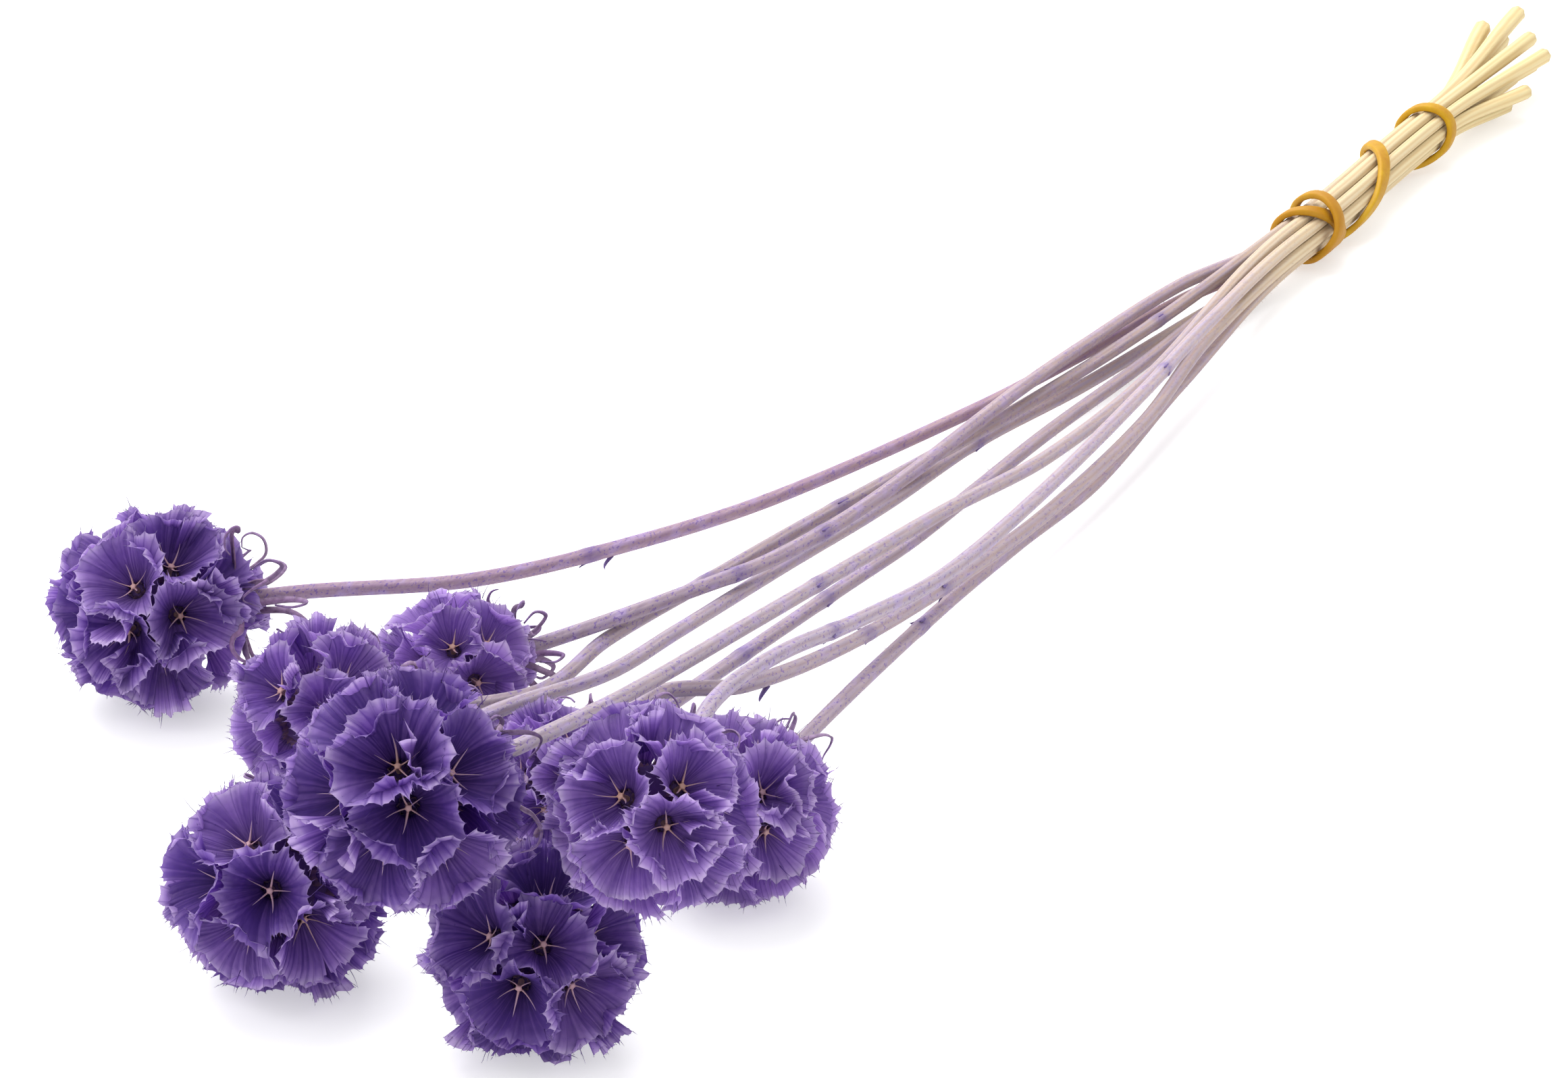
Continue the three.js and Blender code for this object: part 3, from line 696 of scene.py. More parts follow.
# %% Fruits, core and long bristles
CORE_R = 0.4
CORE_LUMPS = 0.05
FRUIT_RIBS = 8
FRUIT_OUTLINE = ((0.3, 0.04), (0.36, 0.085), (0.42, 0.105), (0.47, 0.095), (0.5, 0.088))
LONG_BRISTLES = 2


def add_fruit(pile, flower, direction, random):
    R = flower["radius"]
    at = around_head(flower, direction)
    turn = np.arange(FRUIT_RIBS * 2) * math.pi / FRUIT_RIBS
    ridge = np.tile([1.0, 0.72], FRUIT_RIBS)
    points = np.vstack([at(turn, out * R, across * R * ridge) for out, across in FRUIT_OUTLINE])
    marks = np.zeros((len(points), 3))
    marks[:, 0] = np.tile(ridge > 0.9, len(FRUIT_OUTLINE))
    marks[:, 1] = 0.6
    marks[:, 2] = random.uniform(0, 1)
    pile.add(points, grid_faces(len(FRUIT_OUTLINE), len(turn)), marks, CORE)


def add_core(pile, flower, random):
    """A lumpy ball that carries the fruits."""
    R = flower["radius"]
    rows, columns = 12, 20
    at = around_head(flower, stemward(flower))
    turn = np.arange(columns) * math.tau / columns
    points = []
    for row in range(rows):
        polar = math.pi * (row + 0.5) / rows
        radius = CORE_R * R * (1 + CORE_LUMPS * random.uniform(-1, 1, columns))
        points.append(at(turn, radius * math.cos(polar), radius * math.sin(polar)))
    points = np.vstack([*points, at(0, CORE_R * R, 0), at(0, -CORE_R * R, 0)])
    top = rows * columns
    faces = grid_faces(rows, columns).tolist() + cap_faces(0, columns, top)
    faces += cap_faces(top - columns, columns, top + 1, turned=True)
    pile.add(points, faces, (0, 0.1, 0.5), CORE)


def add_long_bristles(pile, flower, directions, random):
    """A few bristles that reach out past the rims."""
    R = flower["radius"]
    for _ in range(LONG_BRISTLES * flower["cups"]):
        axis = directions[random.integers(len(directions))]
        at = around_head(flower, axis)
        turn = random.uniform(0, math.tau)
        lean = random.uniform(0.3, 0.5)
        tip = R * random.uniform(0.98, 1.16)
        s = np.linspace(0, 1, 6)
        root = 0.8 * tip
        out = math.cos(lean) * (root + (tip - root) * s)
        path = at(turn + 0.1 * s**2, out, math.sin(lean) * (root + (tip - root) * s))
        add_spike(pile, path, 0.15, 0.1, (1, 0.7, 0.3), (1, 0.9, 0.3), PAPER)


print("long bristles:", LONG_BRISTLES * sum(flower["cups"] for flower in FLOWERS.values()))

# %% [markdown]
# Colour comes from node graphs that read the three marks: the rib, the way from the cup's root to its rim,
# and a tint of each cup's own. This small class makes such a graph with few words.

# %% Tools for node graphs
class Graph:
    """A material's node graph under construction."""

    def __init__(self, name):
        self.material = bpy.data.materials.new(name)
        self.material.use_nodes = True
        self.tree = self.material.node_tree
        self.tree.nodes.clear()

    def add(self, kind, inputs=(), **settings):
        node = self.tree.nodes.new("ShaderNode" + kind)
        for key, value in settings.items():
            setattr(node, key, value)
        for key, value in dict(inputs).items():
            if isinstance(value, bpy.types.NodeSocket):
                self.tree.links.new(value, node.inputs[key])
            else:
                node.inputs[key].default_value = value
        return node

    def marks(self):
        split = self.add("SeparateColor", {0: self.add("Attribute", attribute_name="marks").outputs["Color"]})
        return split.outputs[0], split.outputs[1], split.outputs[2]

    def math(self, operation, a, b=0.0, clamp=False):
        return self.add("Math", {0: a, 1: b}, operation=operation, use_clamp=clamp).outputs[0]

    def mix(self, factor, a, b, blend="MIX"):
        node = self.add("Mix", {0: factor, 6: a, 7: b}, data_type="RGBA", blend_type=blend)
        return node.outputs[2]

    def ramp(self, factor, *stops):
        node = self.add("ValToRGB", {0: factor})
        elements = node.color_ramp.elements
        while len(elements) < len(stops):
            elements.new(0.5)
        for element, (place, colour) in zip(elements, stops):
            element.position = place
            element.color = colour if not isinstance(colour, (int, float)) else (colour, colour, colour, 1)
        return node.outputs[0]

    def place(self, stretch=(1, 1, 1)):
        """Coordinates in millimetres, each multiplied by stretch."""
        coordinates = self.add("TexCoord").outputs["Object"]
        scaled = self.add("Mapping", {"Vector": coordinates, "Scale": [s / MM for s in stretch]})
        return scaled.outputs[0]

    def noise(self, vector, scale, detail=3.0, roughness=0.55):
        inputs = {"Vector": vector, "Scale": scale, "Detail": detail, "Roughness": roughness}
        return self.add("TexNoise", inputs).outputs[0]

    def solid(self, base, roughness, relief=None, strength=0.0, depth=0.0002, extra=()):
        """A plain surface, with a fine relief where one is given."""
        inputs = {"Base Color": base, "Roughness": roughness, **dict(extra)}
        if relief is not None:
            bump = self.add("Bump", {"Height": relief, "Strength": strength, "Distance": depth})
            inputs["Normal"] = bump.outputs[0]
        return self.add("BsdfPrincipled", inputs).outputs[0]

    def finish(self, surface):
        self.add("OutputMaterial", {"Surface": surface})
        return self.material


def rgb(red, green, blue):
    """A colour given in 0 to 255 steps as on a screen, as the renderer's linear numbers."""
    linear = [((c / 255 + 0.055) / 1.055) ** 2.4 if c > 10 else c / 255 / 12.92 for c in (red, green, blue)]
    return (*linear, 1.0)


print("lilac as linear numbers:", [round(c, 3) for c in rgb(157, 123, 202)])

# %% [markdown]
# Thin paper lets light through, so the paper mixes a plain surface with a translucent one. The lilac is
# palest at the rims, partly the paper's own fading and partly a painted glow of the light from behind, and
# darkest in the throats, partly deeper dye and partly painted shade. The dye has also gathered in the ribs
# and in small specks. Pale heads took less dye in their throats too.

# %% Paper, bristle and core
TRANSLUCENT_SHARE = 0.5


def paper():
    g = Graph("dyed_paper")
    rib, along, tint = g.marks()
    where = g.place()
    cloudy = g.noise(where, 0.22, 4)
    fine = g.noise(where, 2.4, 3)
    # Painted light: this ramp darkens the throats with painted shade and brightens the rims with a painted
    # backlit glow, on top of the dye's own change from throat to rim.
    base = g.ramp(
        along, (0.0, rgb(92, 50, 134)), (0.35, rgb(109, 66, 160)), (0.6, rgb(134, 93, 187)),
        (0.8, rgb(157, 123, 202)), (0.92, rgb(196, 172, 228)), (0.99, rgb(236, 226, 248)),
    )
    dye = g.mix(tint, rgb(150, 126, 184), rgb(255, 246, 255))
    base = g.mix(1.0, base, dye, "MULTIPLY")
    faded = g.math("MULTIPLY", g.math("POWER", tint, 2.0), 0.45)
    base = g.mix(faded, base, rgb(174, 144, 208))
    shade = g.ramp(cloudy, (0.3, 0.76), (0.65, 1.0))
    base = g.mix(1.0, base, shade, "MULTIPLY")
    line = g.math("POWER", rib, 2.2)
    line = g.math("MULTIPLY", line, g.math("ADD", g.math("MULTIPLY", along, 0.52), 0.08))
    base = g.mix(line, base, rgb(84, 54, 134))
    speck = g.ramp(fine, (0.68, 0.0), (0.73, 1.0))
    speck = g.math("MULTIPLY", speck, g.math("MULTIPLY", along, 0.6))
    base = g.mix(speck, base, rgb(62, 36, 116))
    solid = g.solid(base, 0.8, fine, 0.25, 0.0001)
    lit = g.mix(1.0, base, rgb(246, 236, 255), "MULTIPLY")
    through = g.add("BsdfTranslucent", {"Color": lit})
    mixed = g.add("MixShader", {0: TRANSLUCENT_SHARE, 1: solid, 2: through.outputs[0]})
    return g.finish(mixed.outputs[0])


def bristle():
    g = Graph("calyx_bristle")
    _, along, tint = g.marks()
    fine = g.noise(g.place(), 3.0, 2)
    tan = g.mix(tint, rgb(190, 148, 116), rgb(172, 134, 154))
    tip = g.mix(along, tan, rgb(170, 142, 180))
    base = g.mix(g.math("MULTIPLY", fine, 0.3), tip, rgb(150, 108, 116))
    return g.finish(g.solid(base, 0.55))


def core_fibre():
    g = Graph("fruit_and_core")
    rib, along, _ = g.marks()
    fine = g.noise(g.place(), 1.6, 4)
    fruit = g.mix(rib, rgb(104, 72, 96), rgb(160, 122, 104))
    base = g.mix(along, rgb(84, 52, 116), fruit)
    base = g.mix(g.math("MULTIPLY", fine, 0.6), base, rgb(72, 46, 96))
    return g.finish(g.solid(base, 0.9, fine, 0.5))


PAPER_MATERIAL = paper()
BRISTLE_MATERIAL = bristle()
CORE_MATERIAL = core_fibre()
print("materials of the heads:", PAPER_MATERIAL.name, BRISTLE_MATERIAL.name, CORE_MATERIAL.name)

# %% [markdown]
# Now the heads can be built. Each one repeats the solid model's draws first, so that its cups stand where
# the solid's cups are, and takes the fine detail from a generator of its own.

# %% Build the heads
FANS_ALWAYS = 3
FANS_WHEN_CRUSHED = 9
total = 0
for number, (key, flower) in enumerate(FLOWERS.items()):
    draw = sequence(FIRST_SEED + number)
    random = np.random.default_rng(FIRST_SEED + number)
    directions = cup_directions(flower, draw)
    shapes = [cup_shape(flower, draw) for _ in range(flower["cups"])]
    for shape in shapes:
        shape["grown"] = random.uniform(*WIDER)
    pile = Pile()
    add_core(pile, flower, random)
    for index in range(flower["cups"]):
        tint = np.clip(flower["pale"] + random.uniform(-0.3, 0.3), 0, 1)
        mouth = add_cup(pile, flower, directions, shapes, index, tint, random)
        add_star(pile, flower, directions, shapes, index, mouth, random)
        add_fruit(pile, flower, directions[index], random)
    for _ in range(FANS_ALWAYS + round(FANS_WHEN_CRUSHED * flower["crumple"])):
        tint = np.clip(flower["pale"] + random.uniform(-0.2, 0.3), 0, 1)
        add_fan(pile, flower, directions, tint, random)
    add_long_bristles(pile, flower, directions, random)
    materials = (PAPER_MATERIAL, BRISTLE_MATERIAL, CORE_MATERIAL)
    made = pile.make(f"flower_head_{key}", f"head_{key}", materials)
    total += made
print("triangles in the heads:", total)

# %% [markdown]
# Behind each head hang the bracts that once wrapped the bud. Dried, they are narrow strips that curl into
# hooks and loops. Four of them follow the solid's strips, and thinner ones fill the places between.

# %% Curled bracts
GAP = 0.3
CORE_SHARE = 0.42
DISC_SHARE = 0.1
BRACTS = 4
BRACT_CLEAR = 2.3
BRACT_WIDTH = 1.25
THIN_BRACTS = 7
BRACT_CORNERS = 6
DISC_SIDES = 16


def add_bract(pile, knots, width, thickness, tint, random):
    """A strip that hollows along its middle, thins to its tip and twists as it curls."""
    path = smooth_path(knots, 6)
    share = np.linspace(0, 1, len(path))
    twist = random.uniform(-1.6, 1.6)
    phase = random.uniform(0, math.tau)

    def section(k):
        w = width * (0.75 + 0.36 * math.sin(math.pi * min(1, share[k] * 1.2 + 0.1)))
        w *= (1.05 - share[k]) ** 0.6
        h = thickness * (1 - 0.5 * share[k])
        low = -0.2 * h
        corners = np.array([(-w / 2, h), (0, 0.3 * h), (w / 2, h), (0.4 * w, low), (0, -h), (-0.4 * w, low)])
        turn = phase + twist * share[k]
        c, s = math.cos(turn), math.sin(turn)
        return corners @ np.array([(c, s), (-s, c)])

    points, faces = tube(path, section)
    marks = np.zeros((len(points), 3))
    marks[: len(path) * BRACT_CORNERS, 1] = np.repeat(share, BRACT_CORNERS)
    marks[: len(path) * BRACT_CORNERS, 0] = np.tile([1, 0, 1, 0, 0, 0], len(path))
    marks[-1, 1] = 1
    marks[:, 2] = tint
    pile.add(points, faces, marks)


print("bracts behind each head:", BRACTS + THIN_BRACTS)

# %% [markdown]
# Dried bracts are dull and blotched. They run from a tan root to a violet tip, with paler edges.

# %% The bracts' material
def bract_paper():
    g = Graph("dried_bract")
    edge, along, tint = g.marks()
    fine = g.noise(g.place(), 1.2, 4)
    young = g.mix(tint, rgb(122, 82, 118), rgb(168, 144, 162))
    base = g.mix(along, young, rgb(118, 90, 146))
    base = g.mix(g.math("MULTIPLY", edge, 0.5), base, rgb(172, 150, 176))
    base = g.mix(g.ramp(fine, (0.4, 0.0), (0.75, 0.7)), base, rgb(70, 44, 72))
    return g.finish(g.solid(base, 0.75, fine, 0.5))


BRACT_MATERIAL = bract_paper()
print("material of the bracts:", BRACT_MATERIAL.name)

# %% [markdown]
# Each head gets its disc and its bracts. The thick bracts repeat the solid's draws. The thin ones start at
# the disc and wind into a small loop that hugs the head.

# %% Build the bracts
for number, (key, flower) in enumerate(FLOWERS.items()):
    draw = sequence(BRACT_SEED + number)
    random = np.random.default_rng(BRACT_SEED + number)
    R = flower["radius"]
    at = around_head(flower, stemward(flower))
    near = CORE_SHARE + GAP / R
    pile = Pile()
    ring = np.arange(DISC_SIDES) * math.tau / DISC_SIDES
    rows = [(near - 0.02, 0.05), (near, 0.11), (near + 0.05, 0.145), (near + 0.09, 0.12), (near + 0.1, 0.05)]
    lobes = 1 + 0.08 * np.cos(8 * ring)
    disc = np.vstack([at(ring, out * R, across * R * lobes) for out, across in rows])
    disc = np.vstack([disc, at(0, (near - 0.02) * R, 0), at(0, (near + 0.1) * R, 0)])
    end = len(rows) * DISC_SIDES
    faces = grid_faces(len(rows), DISC_SIDES).tolist() + cap_faces(0, DISC_SIDES, end, turned=True)
    faces += cap_faces(end - DISC_SIDES, DISC_SIDES, end + 1)
    pile.add(disc, faces, (0, 0.2, 0.3))
    for b in range(BRACTS):
        turn = (b + 0.3 * draw()) * math.tau / BRACTS
        reach = 0.95 + 0.25 * draw()
        curl = 0.7 + 0.5 * draw()
        spine = [
            (near + 0.05, 0.1, 0), (0.72, 0.14, 0.08), (reach, 0.2 * curl, 0.2),
            (reach + 0.2, 0.4 * curl, 0.5), (reach + 0.06, 0.52 * curl, 0.55), (reach - 0.1, 0.4 * curl, 0.7),
        ]
        knots = [
            at(turn + sway * (curl - 0.9), out * R, max(across * R, BRACT_CLEAR) if k else across * R)
            for k, (out, across, sway) in enumerate(spine)
        ]
        add_bract(pile, knots, BRACT_WIDTH, 0.3, random.uniform(0, 1), random)
    for b in range(THIN_BRACTS):
        turn = (b + random.uniform(0.2, 0.8)) * math.tau / THIN_BRACTS
        lean = random.uniform(0.4, 0.85)
        hug = random.uniform(1.02, 1.1)
        loop = random.uniform(0.09, 0.17)
        knots = [at(turn, (near + 0.05) * R, 0.1 * R), at(turn, (near + 0.3) * R, 0.22 * R)]
        steps = random.integers(5, 9)
        spin = random.choice((-1, 1))
        for step in range(steps):
            angle = -1.4 + spin * step * 0.95
            shrink = loop * (1 - 0.06 * step)
            out = (hug * math.cos(lean) + shrink * math.cos(angle)) * R
            across = max((hug * math.sin(lean) + shrink * math.sin(angle)) * R, BRACT_CLEAR)
            knots.append(at(turn + 0.09 * step, out, across))
        add_bract(pile, knots, random.uniform(0.75, 1.15), 0.24, random.uniform(0, 1), random)
    made = pile.make(f"curled_bracts_{key}", f"involucre_{key}", (BRACT_MATERIAL,))
    total += made
print("triangles with the bracts:", total)

# %% [markdown]
# A stem is a ridged straw. It leaves the head, sags and bends a little, runs straight through the band and
# ends at a cut. The curve is the solid model's own. The solids keep small gaps between them, but real stems
# touch in the band, so here they stand a quarter of a millimetre closer.

# %% Stem curves
TIE_HEIGHT = 6
RUN_START = -11
RUN_END = 54
DRIFT = -2.2
RING_R = 2.85
STEM_R_HEAD = 1.12
STEM_R_TIE = 1.08
STEM_R_CUT = 1.55
HEAD_TAPER = 250
CUT_TAPER = 50
STRAIGHT_START = 3
FAR_START = 9
STEM_STEP = 1.6


def stem_curve(flower):
    """Points along a stem, a step apart, from behind its head to its cut end."""
    centre = placed(flower["centre"])
    back = stemward(flower)
    route = [placed(p) for p in flower["route"]]
    turn = math.radians(flower["slot"] or 0)
    ring = 0 if flower["slot"] is None else RING_R
    y, z = ring * math.cos(turn), TIE_HEIGHT + ring * math.sin(turn)
    R = flower["radius"]
    knots = [centre + back * ((CORE_SHARE + DISC_SHARE) * R + 2 * GAP)]
    if np.linalg.norm(route[0] - centre) > R + FAR_START:
        knots.append(centre + back * (R + STRAIGHT_START))
    knots += route
    knots += [placed((RUN_START, y + DRIFT, z)), placed((RUN_END, y, z)), placed(flower["cut"])]
    knots = np.array(knots)
    last = len(knots) - 1
    along = np.append(0, np.cumsum(np.linalg.norm(np.diff(knots, axis=0), axis=1)))
    slope = [
        (knots[min(i + 1, last)] - knots[max(i - 1, 0)]) / (along[min(i + 1, last)] - along[max(i - 1, 0)])
        for i in range(last + 1)
    ]
    slope[last - 2] = slope[last - 1] = np.array([1.0, 0, 0])
    path = []
    for s in np.linspace(0, along[-1], int(along[-1] / STEM_STEP)):
        i = min(max(int(np.searchsorted(along, s, side="right")) - 1, 0), last - 1)
        h = along[i + 1] - along[i]
        t = (s - along[i]) / h
        path.append(
            (2 * t**3 - 3 * t**2 + 1) * knots[i] + (t**3 - 2 * t**2 + t) * h * slope[i]
            + (3 * t**2 - 2 * t**3) * knots[i + 1] + (t**3 - t**2) * h * slope[i + 1]
        )
    return np.array(path)


def stem_radius(x):
    """Radius at distance x from the tie."""
    towards_head = np.clip(-x / HEAD_TAPER, 0, 1)
    towards_cut = np.clip((x - RUN_END) / CUT_TAPER, 0, 1)
    return STEM_R_TIE + (STEM_R_HEAD - STEM_R_TIE) * towards_head + (STEM_R_CUT - STEM_R_TIE) * towards_cut


print("points along the first stem:", len(stem_curve(FLOWERS["a"])))

# %% [markdown]
# The young stem is greyish lilac, with streaks, blots and specks of dye. Near its cut end the dye never
# reached it, and it is cream. The marks say how high a ridge is, how far along the stem a point lies, and
# how near it is to a node.

# %% The stems' material
STEM_TINTS = {
    "a": (142, 114, 142), "b": (140, 126, 138), "c": (144, 128, 146), "d": (150, 138, 152),
    "e": (148, 136, 154), "f": (150, 136, 150), "g": (154, 142, 162), "h": (148, 132, 148),
    "i": (140, 126, 144),
}


def stem_fibre(name, young):
    g = Graph(name)
    ridge, along, node = g.marks()
    streaks = g.noise(g.place((0.05, 1.2, 1.2)), 1.6, 4)
    blots = g.noise(g.place((0.5, 1, 1)), 0.5, 3)
    specks = g.noise(g.place((0.6, 1, 1)), 2.2, 2)
    base = g.ramp(
        along, (0.0, rgb(*young)), (0.6, rgb(*(c + 8 for c in young))), (0.74, rgb(200, 184, 154)),
        (1.0, rgb(212, 196, 148)),
    )
    # Painted shade: the grooves between the ridges are drawn darker than the ridges.
    groove_shade = g.mix(along, rgb(112, 88, 112), rgb(186, 148, 92))
    depth = g.math("SUBTRACT", 0.5, g.math("MULTIPLY", ridge, 0.6), clamp=True)
    base = g.mix(depth, base, groove_shade)
    warm = g.ramp(streaks, (0.35, 0.0), (0.7, 0.35))
    base = g.mix(warm, base, g.mix(along, rgb(180, 162, 166), rgb(206, 176, 112)))
    dyed = g.math("SUBTRACT", 1.0, g.math("MULTIPLY", along, 1.25), clamp=True)
    patch = g.math("MULTIPLY", g.ramp(blots, (0.52, 0.0), (0.68, 0.6)), dyed)
    base = g.mix(patch, base, rgb(158, 138, 192))
    dots = g.math("MULTIPLY", g.ramp(specks, (0.6, 0.0), (0.63, 0.85)), dyed)
    base = g.mix(dots, base, rgb(104, 78, 146))
    base = g.mix(g.math("MULTIPLY", node, 0.85), base, rgb(84, 62, 132))
    return g.finish(g.solid(base, 0.7, streaks, 0.4))


print("stem colours:", len(STEM_TINTS))

# %% [markdown]
# On the curve sit seven ridges, slight thick and thin places, and swollen nodes. The nodes were read from the
# photograph as places along each stem, in millimetres from the tie. Each carries a ring of deeper dye and the
# stubs of leaves that dried to dark scales. Short stiff hairs stand all along.

# %% One stem
STEM_RIDGES = 7
RIDGE_COLUMNS = (1.0, 0.55, 0.0, 0.55)
STEM_SIDES = STEM_RIDGES * len(RIDGE_COLUMNS)
WOBBLE = 0.035
WOBBLE_STEPS = 12
NODE_LENGTH = 1.6
NODE_SWELL = 0.1
NODE_DYE = 0.6
SLOW_TWIST = 0.004
PITH_SHARE = 0.55
STEM_HAIRS = 460
HAIR_LENGTH = (0.25, 0.75)
NODES = {
    "a": (-190,), "b": (-183, -149, -54), "c": (-183, -163), "d": (-203,), "e": (-109,), "f": (-196, -171),
    "g": (-226, -90), "h": (-178,), "i": (-204, -180),
}
SCALES_AT_NODE = 3
REMNANT = {"f": -226, "a": -186}


def add_scale(pile, at, turn, length, width, lift):
    """A dried leaf stub: a narrow blade that lies along the stem and lifts a little at its tip."""
    rows = 6
    s = np.linspace(0, 1, rows)
    out = length * (0.4 - s)
    up = 1.06 + lift * s**2
    half = width * np.sin(math.pi * np.clip(s * 0.75 + 0.25, 0, 1)) / 2 + 0.03
    sides = ((-1, 0.0), (0, 0.12), (1, 0.0), (0, -0.1))
    points = np.stack([at(turn + side * half / 1.2, out, up + rise) for side, rise in sides], 1)
    last = (rows - 1) * 4
    faces = grid_faces(rows, 4).tolist() + [[0, 3, 2, 1], [last, last + 1, last + 2, last + 3]]
    pile.add(points, faces, (0.2, 0.3, 1.0))


def add_stem(pile, flower, key, random):
    """A ridged straw with its cut end, its nodes with their stubs, and its hairs."""
    path = stem_curve(flower)
    x = path[:, 0] - TIE[0]
    along = (x - x[0]) / (x[-1] - x[0])
    steps = len(path)
    marked = np.arange(0, steps + WOBBLE_STEPS, WOBBLE_STEPS)
    wobble = np.interp(np.arange(steps), marked, random.uniform(-WOBBLE, WOBBLE, len(marked)))
    swell = sum(np.exp(-(((x - place) / NODE_LENGTH) ** 2)) for place in NODES[key])
    radius = stem_radius(x) * (1 + wobble + NODE_SWELL * swell)
    turn = np.arange(STEM_SIDES) * math.tau / STEM_SIDES
    ridge = np.tile(RIDGE_COLUMNS, STEM_RIDGES)
    deep = 0.93 + 0.1 * ridge * np.repeat(random.uniform(0.6, 1.2, STEM_RIDGES), len(RIDGE_COLUMNS))
    slow_twist = random.uniform(-SLOW_TWIST, SLOW_TWIST)
    offset = random.uniform(0, math.tau)

    def section(k):
        angles = turn + offset + slow_twist * k
        return radius[k] * np.stack([deep * np.cos(angles), deep * np.sin(angles)], 1)

    points, faces = tube(path, section, capped=False)
    marks = np.zeros((len(points), 3))
    marks[:, 0] = np.tile(ridge, steps)
    marks[:, 1] = np.repeat(along, STEM_SIDES)
    marks[:, 2] = np.repeat(np.clip(swell, 0, 1) * NODE_DYE, STEM_SIDES)
    ahead = unit(path[-1] - path[-2])
    rim = len(points) - STEM_SIDES
    pith = path[-1] + PITH_SHARE * (points[rim:] - path[-1])
    points = np.vstack([points, pith, pith - 0.45 * ahead, path[-1] - 0.5 * ahead, path[0]])
    marks = np.vstack([marks, np.tile((1, 1, 0), (2 * STEM_SIDES + 1, 1)), (0, 0, 0)])
    middle = len(points) - 2
    faces += (grid_faces(3, STEM_SIDES) + rim).tolist()
    faces += cap_faces(middle - STEM_SIDES, STEM_SIDES, middle)
    faces += cap_faces(0, STEM_SIDES, middle + 1, turned=True)
    pile.add(points, faces, marks)

    for place in NODES[key]:
        k = int(np.abs(x - place).argmin())
        at = around(path[k], unit(path[min(k + 1, steps - 1)] - path[k - 1]))
        for _ in range(SCALES_AT_NODE):
            length, width = random.uniform(1.4, 3.0), random.uniform(0.4, 0.8)
            add_scale(pile, at, random.uniform(0, math.tau), length, width, random.uniform(0.05, 0.45))
    if key in REMNANT:
        k = int(np.abs(x - REMNANT[key]).argmin())
        at = around(path[k], unit(path[k + 1] - path[k - 1]))
        s = np.linspace(0, 1, 7)
        hook = at(4.4 + 0.5 * s, -1.2 * np.sin(3 * s), 1.0 + 2.6 * s)
        add_spike(pile, hook, 0.9, 0.4, (0, 0.2, 1), (0, 0.2, 1), 0)

    for k in random.integers(3, int(steps * 0.8), STEM_HAIRS):
        corner = int(random.integers(STEM_SIDES))
        root = points[k * STEM_SIDES + corner] + random.uniform(-0.7, 0.7) * unit(path[k + 1] - path[k])
        outward = unit(root - path[k])
        sideward = unit(np.cross(outward, path[k + 1] - path[k]))
        forward = np.cross(sideward, outward)
        tip = root + random.uniform(*HAIR_LENGTH) * unit(outward + random.uniform(-0.6, 0.9) * forward)
        foot = [
            root - 0.12 * outward + 0.035 * (math.cos(a) * sideward + math.sin(a) * forward)
            for a in (0, 2.1, 4.2)
        ]
        pile.add([*foot, tip], [[0, 1, 3], [1, 2, 3], [2, 0, 3]], (0.6, along[k], 0.15))


# %% [markdown]
# Every stem has a material and a generator of its own, so no two are alike.

# %% Build the stems
for number, (key, flower) in enumerate(FLOWERS.items()):
    pile = Pile()
    add_stem(pile, flower, key, np.random.default_rng(STEM_SEED + number))
    fibre = stem_fibre(f"dried_stem_{key}", STEM_TINTS[key])
    made = pile.make(f"ridged_stem_{key}", f"stem_{key}", (fibre,))
    total += made
print("triangles with the stems:", total)

# %% [markdown]
# The band is one closed loop of rubber, wound round the stems four times. It starts with two turns over
# each other, crosses obliquely to a last turn, and comes back along the far side. Its way is a list of
# knots: the turn around the stems in degrees, the place along them, and the layer.

# %% The band's way
BAND_WIDTH = 2.4
BAND_THICK = 1.2
BAND_CLEAR = 0.08
BAND_LAYER = 1.6
BAND_STEPS = 8
BAND_SIDES = 14
WINDING = (
    (325, -3.5, 0.3), (270, -1.5, 0), (200, 0, 0), (150, -2.5, 0), (90, -6.5, 0), (30, -8, 0),
    (-35, -7.5, 0), (-90, -6, 0), (-150, -6, 0.1), (-200, -4, 1), (-250, -2, 1), (-300, -1, 0.4),
    (-360, 0.5, 0), (-395, 1.5, 0), (-450, 4, 0), (-500, 9, 0), (-550, 17, 0), (-610, 25, 0),
    (-670, 30, 0), (-720, 33, 0), (-755, 38, 0), (-810, 44, 0), (-870, 49, 0), (-930, 51, 0), (-990, 50, 0),
    (-1050, 48.5, 0), (-1095, 49, 0.5), (-1115, 46, 1), (-1115, 40, 1.15), (-1115, 28, 0.4),
    (-1115, 15, 0.4), (-1115, 5, 1.1), (-1115, 1, 1),
)
FULL_LAP = 1440


def winding(t, column):
    """The winding at place t along its list of knots, closed after one lap."""
    count = len(WINDING)

    def value(i):
        lap, k = divmod(i, count)
        return WINDING[k][column] - (lap * FULL_LAP if column == 0 else 0)

    i = math.floor(t)
    return between(*(value(i + step) for step in (-1, 0, 1, 2)), t - i)


def band_place(t):
    turn = math.radians(winding(t, 0))
    inside = RING_R + STEM_R_TIE + BAND_CLEAR + BAND_THICK / 2
    reach = inside + max(0, winding(t, 2)) * BAND_LAYER
    x = winding(t, 1)
    share = min(max((x - RUN_START) / (RUN_END - RUN_START), 0), 1)
    drift = DRIFT * (1 - share**2 * (3 - 2 * share))
    return placed((x, drift + reach * math.cos(turn), TIE_HEIGHT + reach * math.sin(turn)))


print("knots in the band's way:", len(WINDING))

# %% [markdown]
# Rubber is soft and slightly uneven, with a dull shine. Its section is a rounded strip, its two edges get a
# painted highlight, and the first turns have aged to a browner amber.

# %% Rubber
BAND_UNEVEN = 0.09
BAND_ROUNDING = 0.55


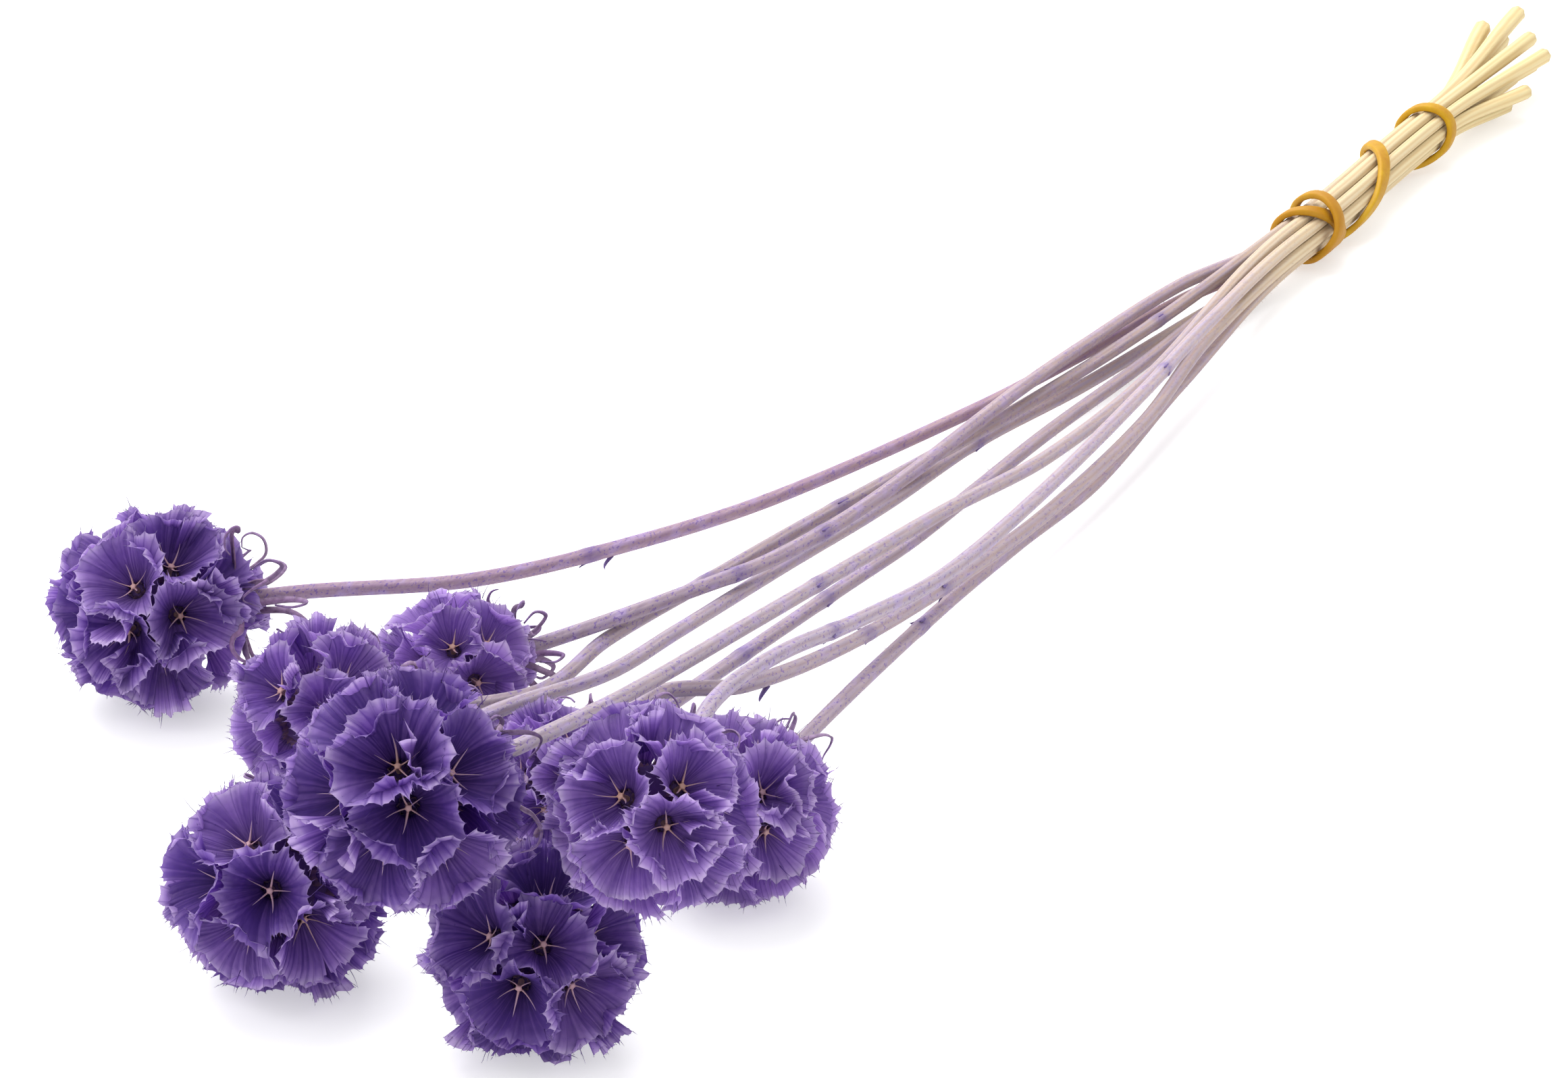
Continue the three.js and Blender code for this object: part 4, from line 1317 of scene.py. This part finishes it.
def rubber():
    g = Graph("amber_rubber")
    edge_highlight, along, _ = g.marks()
    where = g.place()
    cloudy = g.noise(where, 0.35, 4)
    fine = g.noise(where, 2.6, 3)
    base = g.mix(g.ramp(cloudy, (0.3, 0.0), (0.7, 1.0)), rgb(164, 112, 3), rgb(184, 142, 6))
    # Painted highlight: the strip's two edges are mixed towards a lighter amber.
    base = g.mix(g.math("MULTIPLY", edge_highlight, 0.3), base, rgb(198, 160, 22))
    base = g.mix(g.ramp(fine, (0.55, 0.0), (0.8, 0.3)), base, rgb(154, 98, 4))
    first_turns = g.ramp(along, (0.0, 0.5), (0.3, 0.5), (0.38, 0.0), (0.94, 0.0), (0.98, 0.5))
    base = g.mix(first_turns, base, rgb(156, 100, 2))
    return g.finish(g.solid(base, 0.55, fine, 0.35, 0.0001, {"Specular IOR Level": 0.3}))


random = np.random.default_rng(BAND_SEED)
count = len(WINDING) * BAND_STEPS
lumps = ripple(np.arange(count) * math.tau / count, random, (9, 17, 31, 47, 73), BAND_UNEVEN)
corner = np.arange(BAND_SIDES) * math.tau / BAND_SIDES + math.pi / BAND_SIDES
rounded = np.stack([np.sign(f(corner)) * np.abs(f(corner)) ** BAND_ROUNDING for f in (np.cos, np.sin)], 1)
rows, marks = [], []
for k in range(count):
    t = k / BAND_STEPS
    here = band_place(t)
    ahead = unit(band_place(t + 0.05) - band_place(t - 0.05))
    turn = math.radians(winding(t, 0))
    outward = np.array([0, math.cos(turn), math.sin(turn)])
    outward = unit(outward - outward.dot(ahead) * ahead)
    across = np.cross(ahead, outward)
    wide = BAND_WIDTH / 2 * (1 + lumps[k])
    thick = BAND_THICK / 2 * (1 - lumps[k])
    rows.append(here + rounded[:, :1] * wide * across + rounded[:, 1:] * thick * outward)
    # The first mark grows towards the strip's two edges and carries the painted highlight there.
    marks += [(abs(side) ** 4, k / count, 0) for side in rounded[:, 0]]
faces = grid_faces(count + 1, BAND_SIDES) % (count * BAND_SIDES)
pile = Pile()
pile.add(np.vstack(rows), faces, marks)
made = pile.make("wound_rubber_band", "rubber_band", (rubber(),))
total += made
print("triangles with the band:", total)

# %% [markdown]
# The photograph shows the bunch on a bright white ground, lit softly from all sides and most from behind,
# so that the rims glow. A white sky and two large soft lights do the same here, and the floor glows a little,
# like a light table.

# %% Floor and light
FLOOR_GLOW = 0.45
SKY_STRENGTH = 1.08
bpy.ops.mesh.primitive_plane_add(size=8, location=(0, 0, -0.0001))
floor = bpy.context.object
floor.name = "table_top"
g = Graph("white_table")
pale = g.mix(g.noise(g.place(), 0.02, 2), rgb(206, 206, 208), rgb(210, 210, 210))
glow = {"Emission Color": (1, 1, 1, 1), "Emission Strength": FLOOR_GLOW}
floor.data.materials.append(g.finish(g.solid(pale, 0.9, extra=glow)))

world = bpy.data.worlds.new("white_sky")
bpy.context.scene.world = world
world.use_nodes = True
world.node_tree.nodes["Background"].inputs["Color"].default_value = (1, 1, 1, 1)
world.node_tree.nodes["Background"].inputs["Strength"].default_value = SKY_STRENGTH


def soft_light(name, place, target, size, watts):
    data = bpy.data.lights.new(name, "AREA")
    data.size = size
    data.energy = watts
    light = bpy.data.objects.new(name, data)
    light.location = place
    light.rotation_euler = (Vector(target) - Vector(place)).to_track_quat("-Z", "Y").to_euler()
    bpy.context.scene.collection.objects.link(light)


soft_light("back_softbox", (0.3, 0.5, 1.0), (-0.1, 0, 0), 1.1, 16)
soft_light("side_softbox", (-0.7, 0.5, 0.6), (-0.1, 0, 0), 1.0, 4)
print("lights:", [light.name for light in bpy.data.lights])

# %% [markdown]
# The camera looks along the bunch from beyond the heads, about 25 degrees above the table, as in the
# photograph, so the heads are large and the cut ends small. The lens is its focal length in pixels.

# %% Camera
CAMERA_AT = (-0.7441, -0.4002, 0.3804)
CAMERA_TO = (-0.0377, 0.0077, 0.0)
LENS_PIXELS = 8600
PHOTO_WIDTH = 2322
SENSOR = 36
camera_data = bpy.data.cameras.new("camera")
camera_data.sensor_width = SENSOR
camera_data.lens = SENSOR * LENS_PIXELS / PHOTO_WIDTH
camera = bpy.data.objects.new("camera", camera_data)
camera.location = CAMERA_AT
camera.rotation_euler = (Vector(CAMERA_TO) - Vector(CAMERA_AT)).to_track_quat("-Z", "Y").to_euler()
bpy.context.scene.collection.objects.link(camera)
bpy.context.scene.camera = camera
bpy.context.scene.view_settings.view_transform = "Standard"
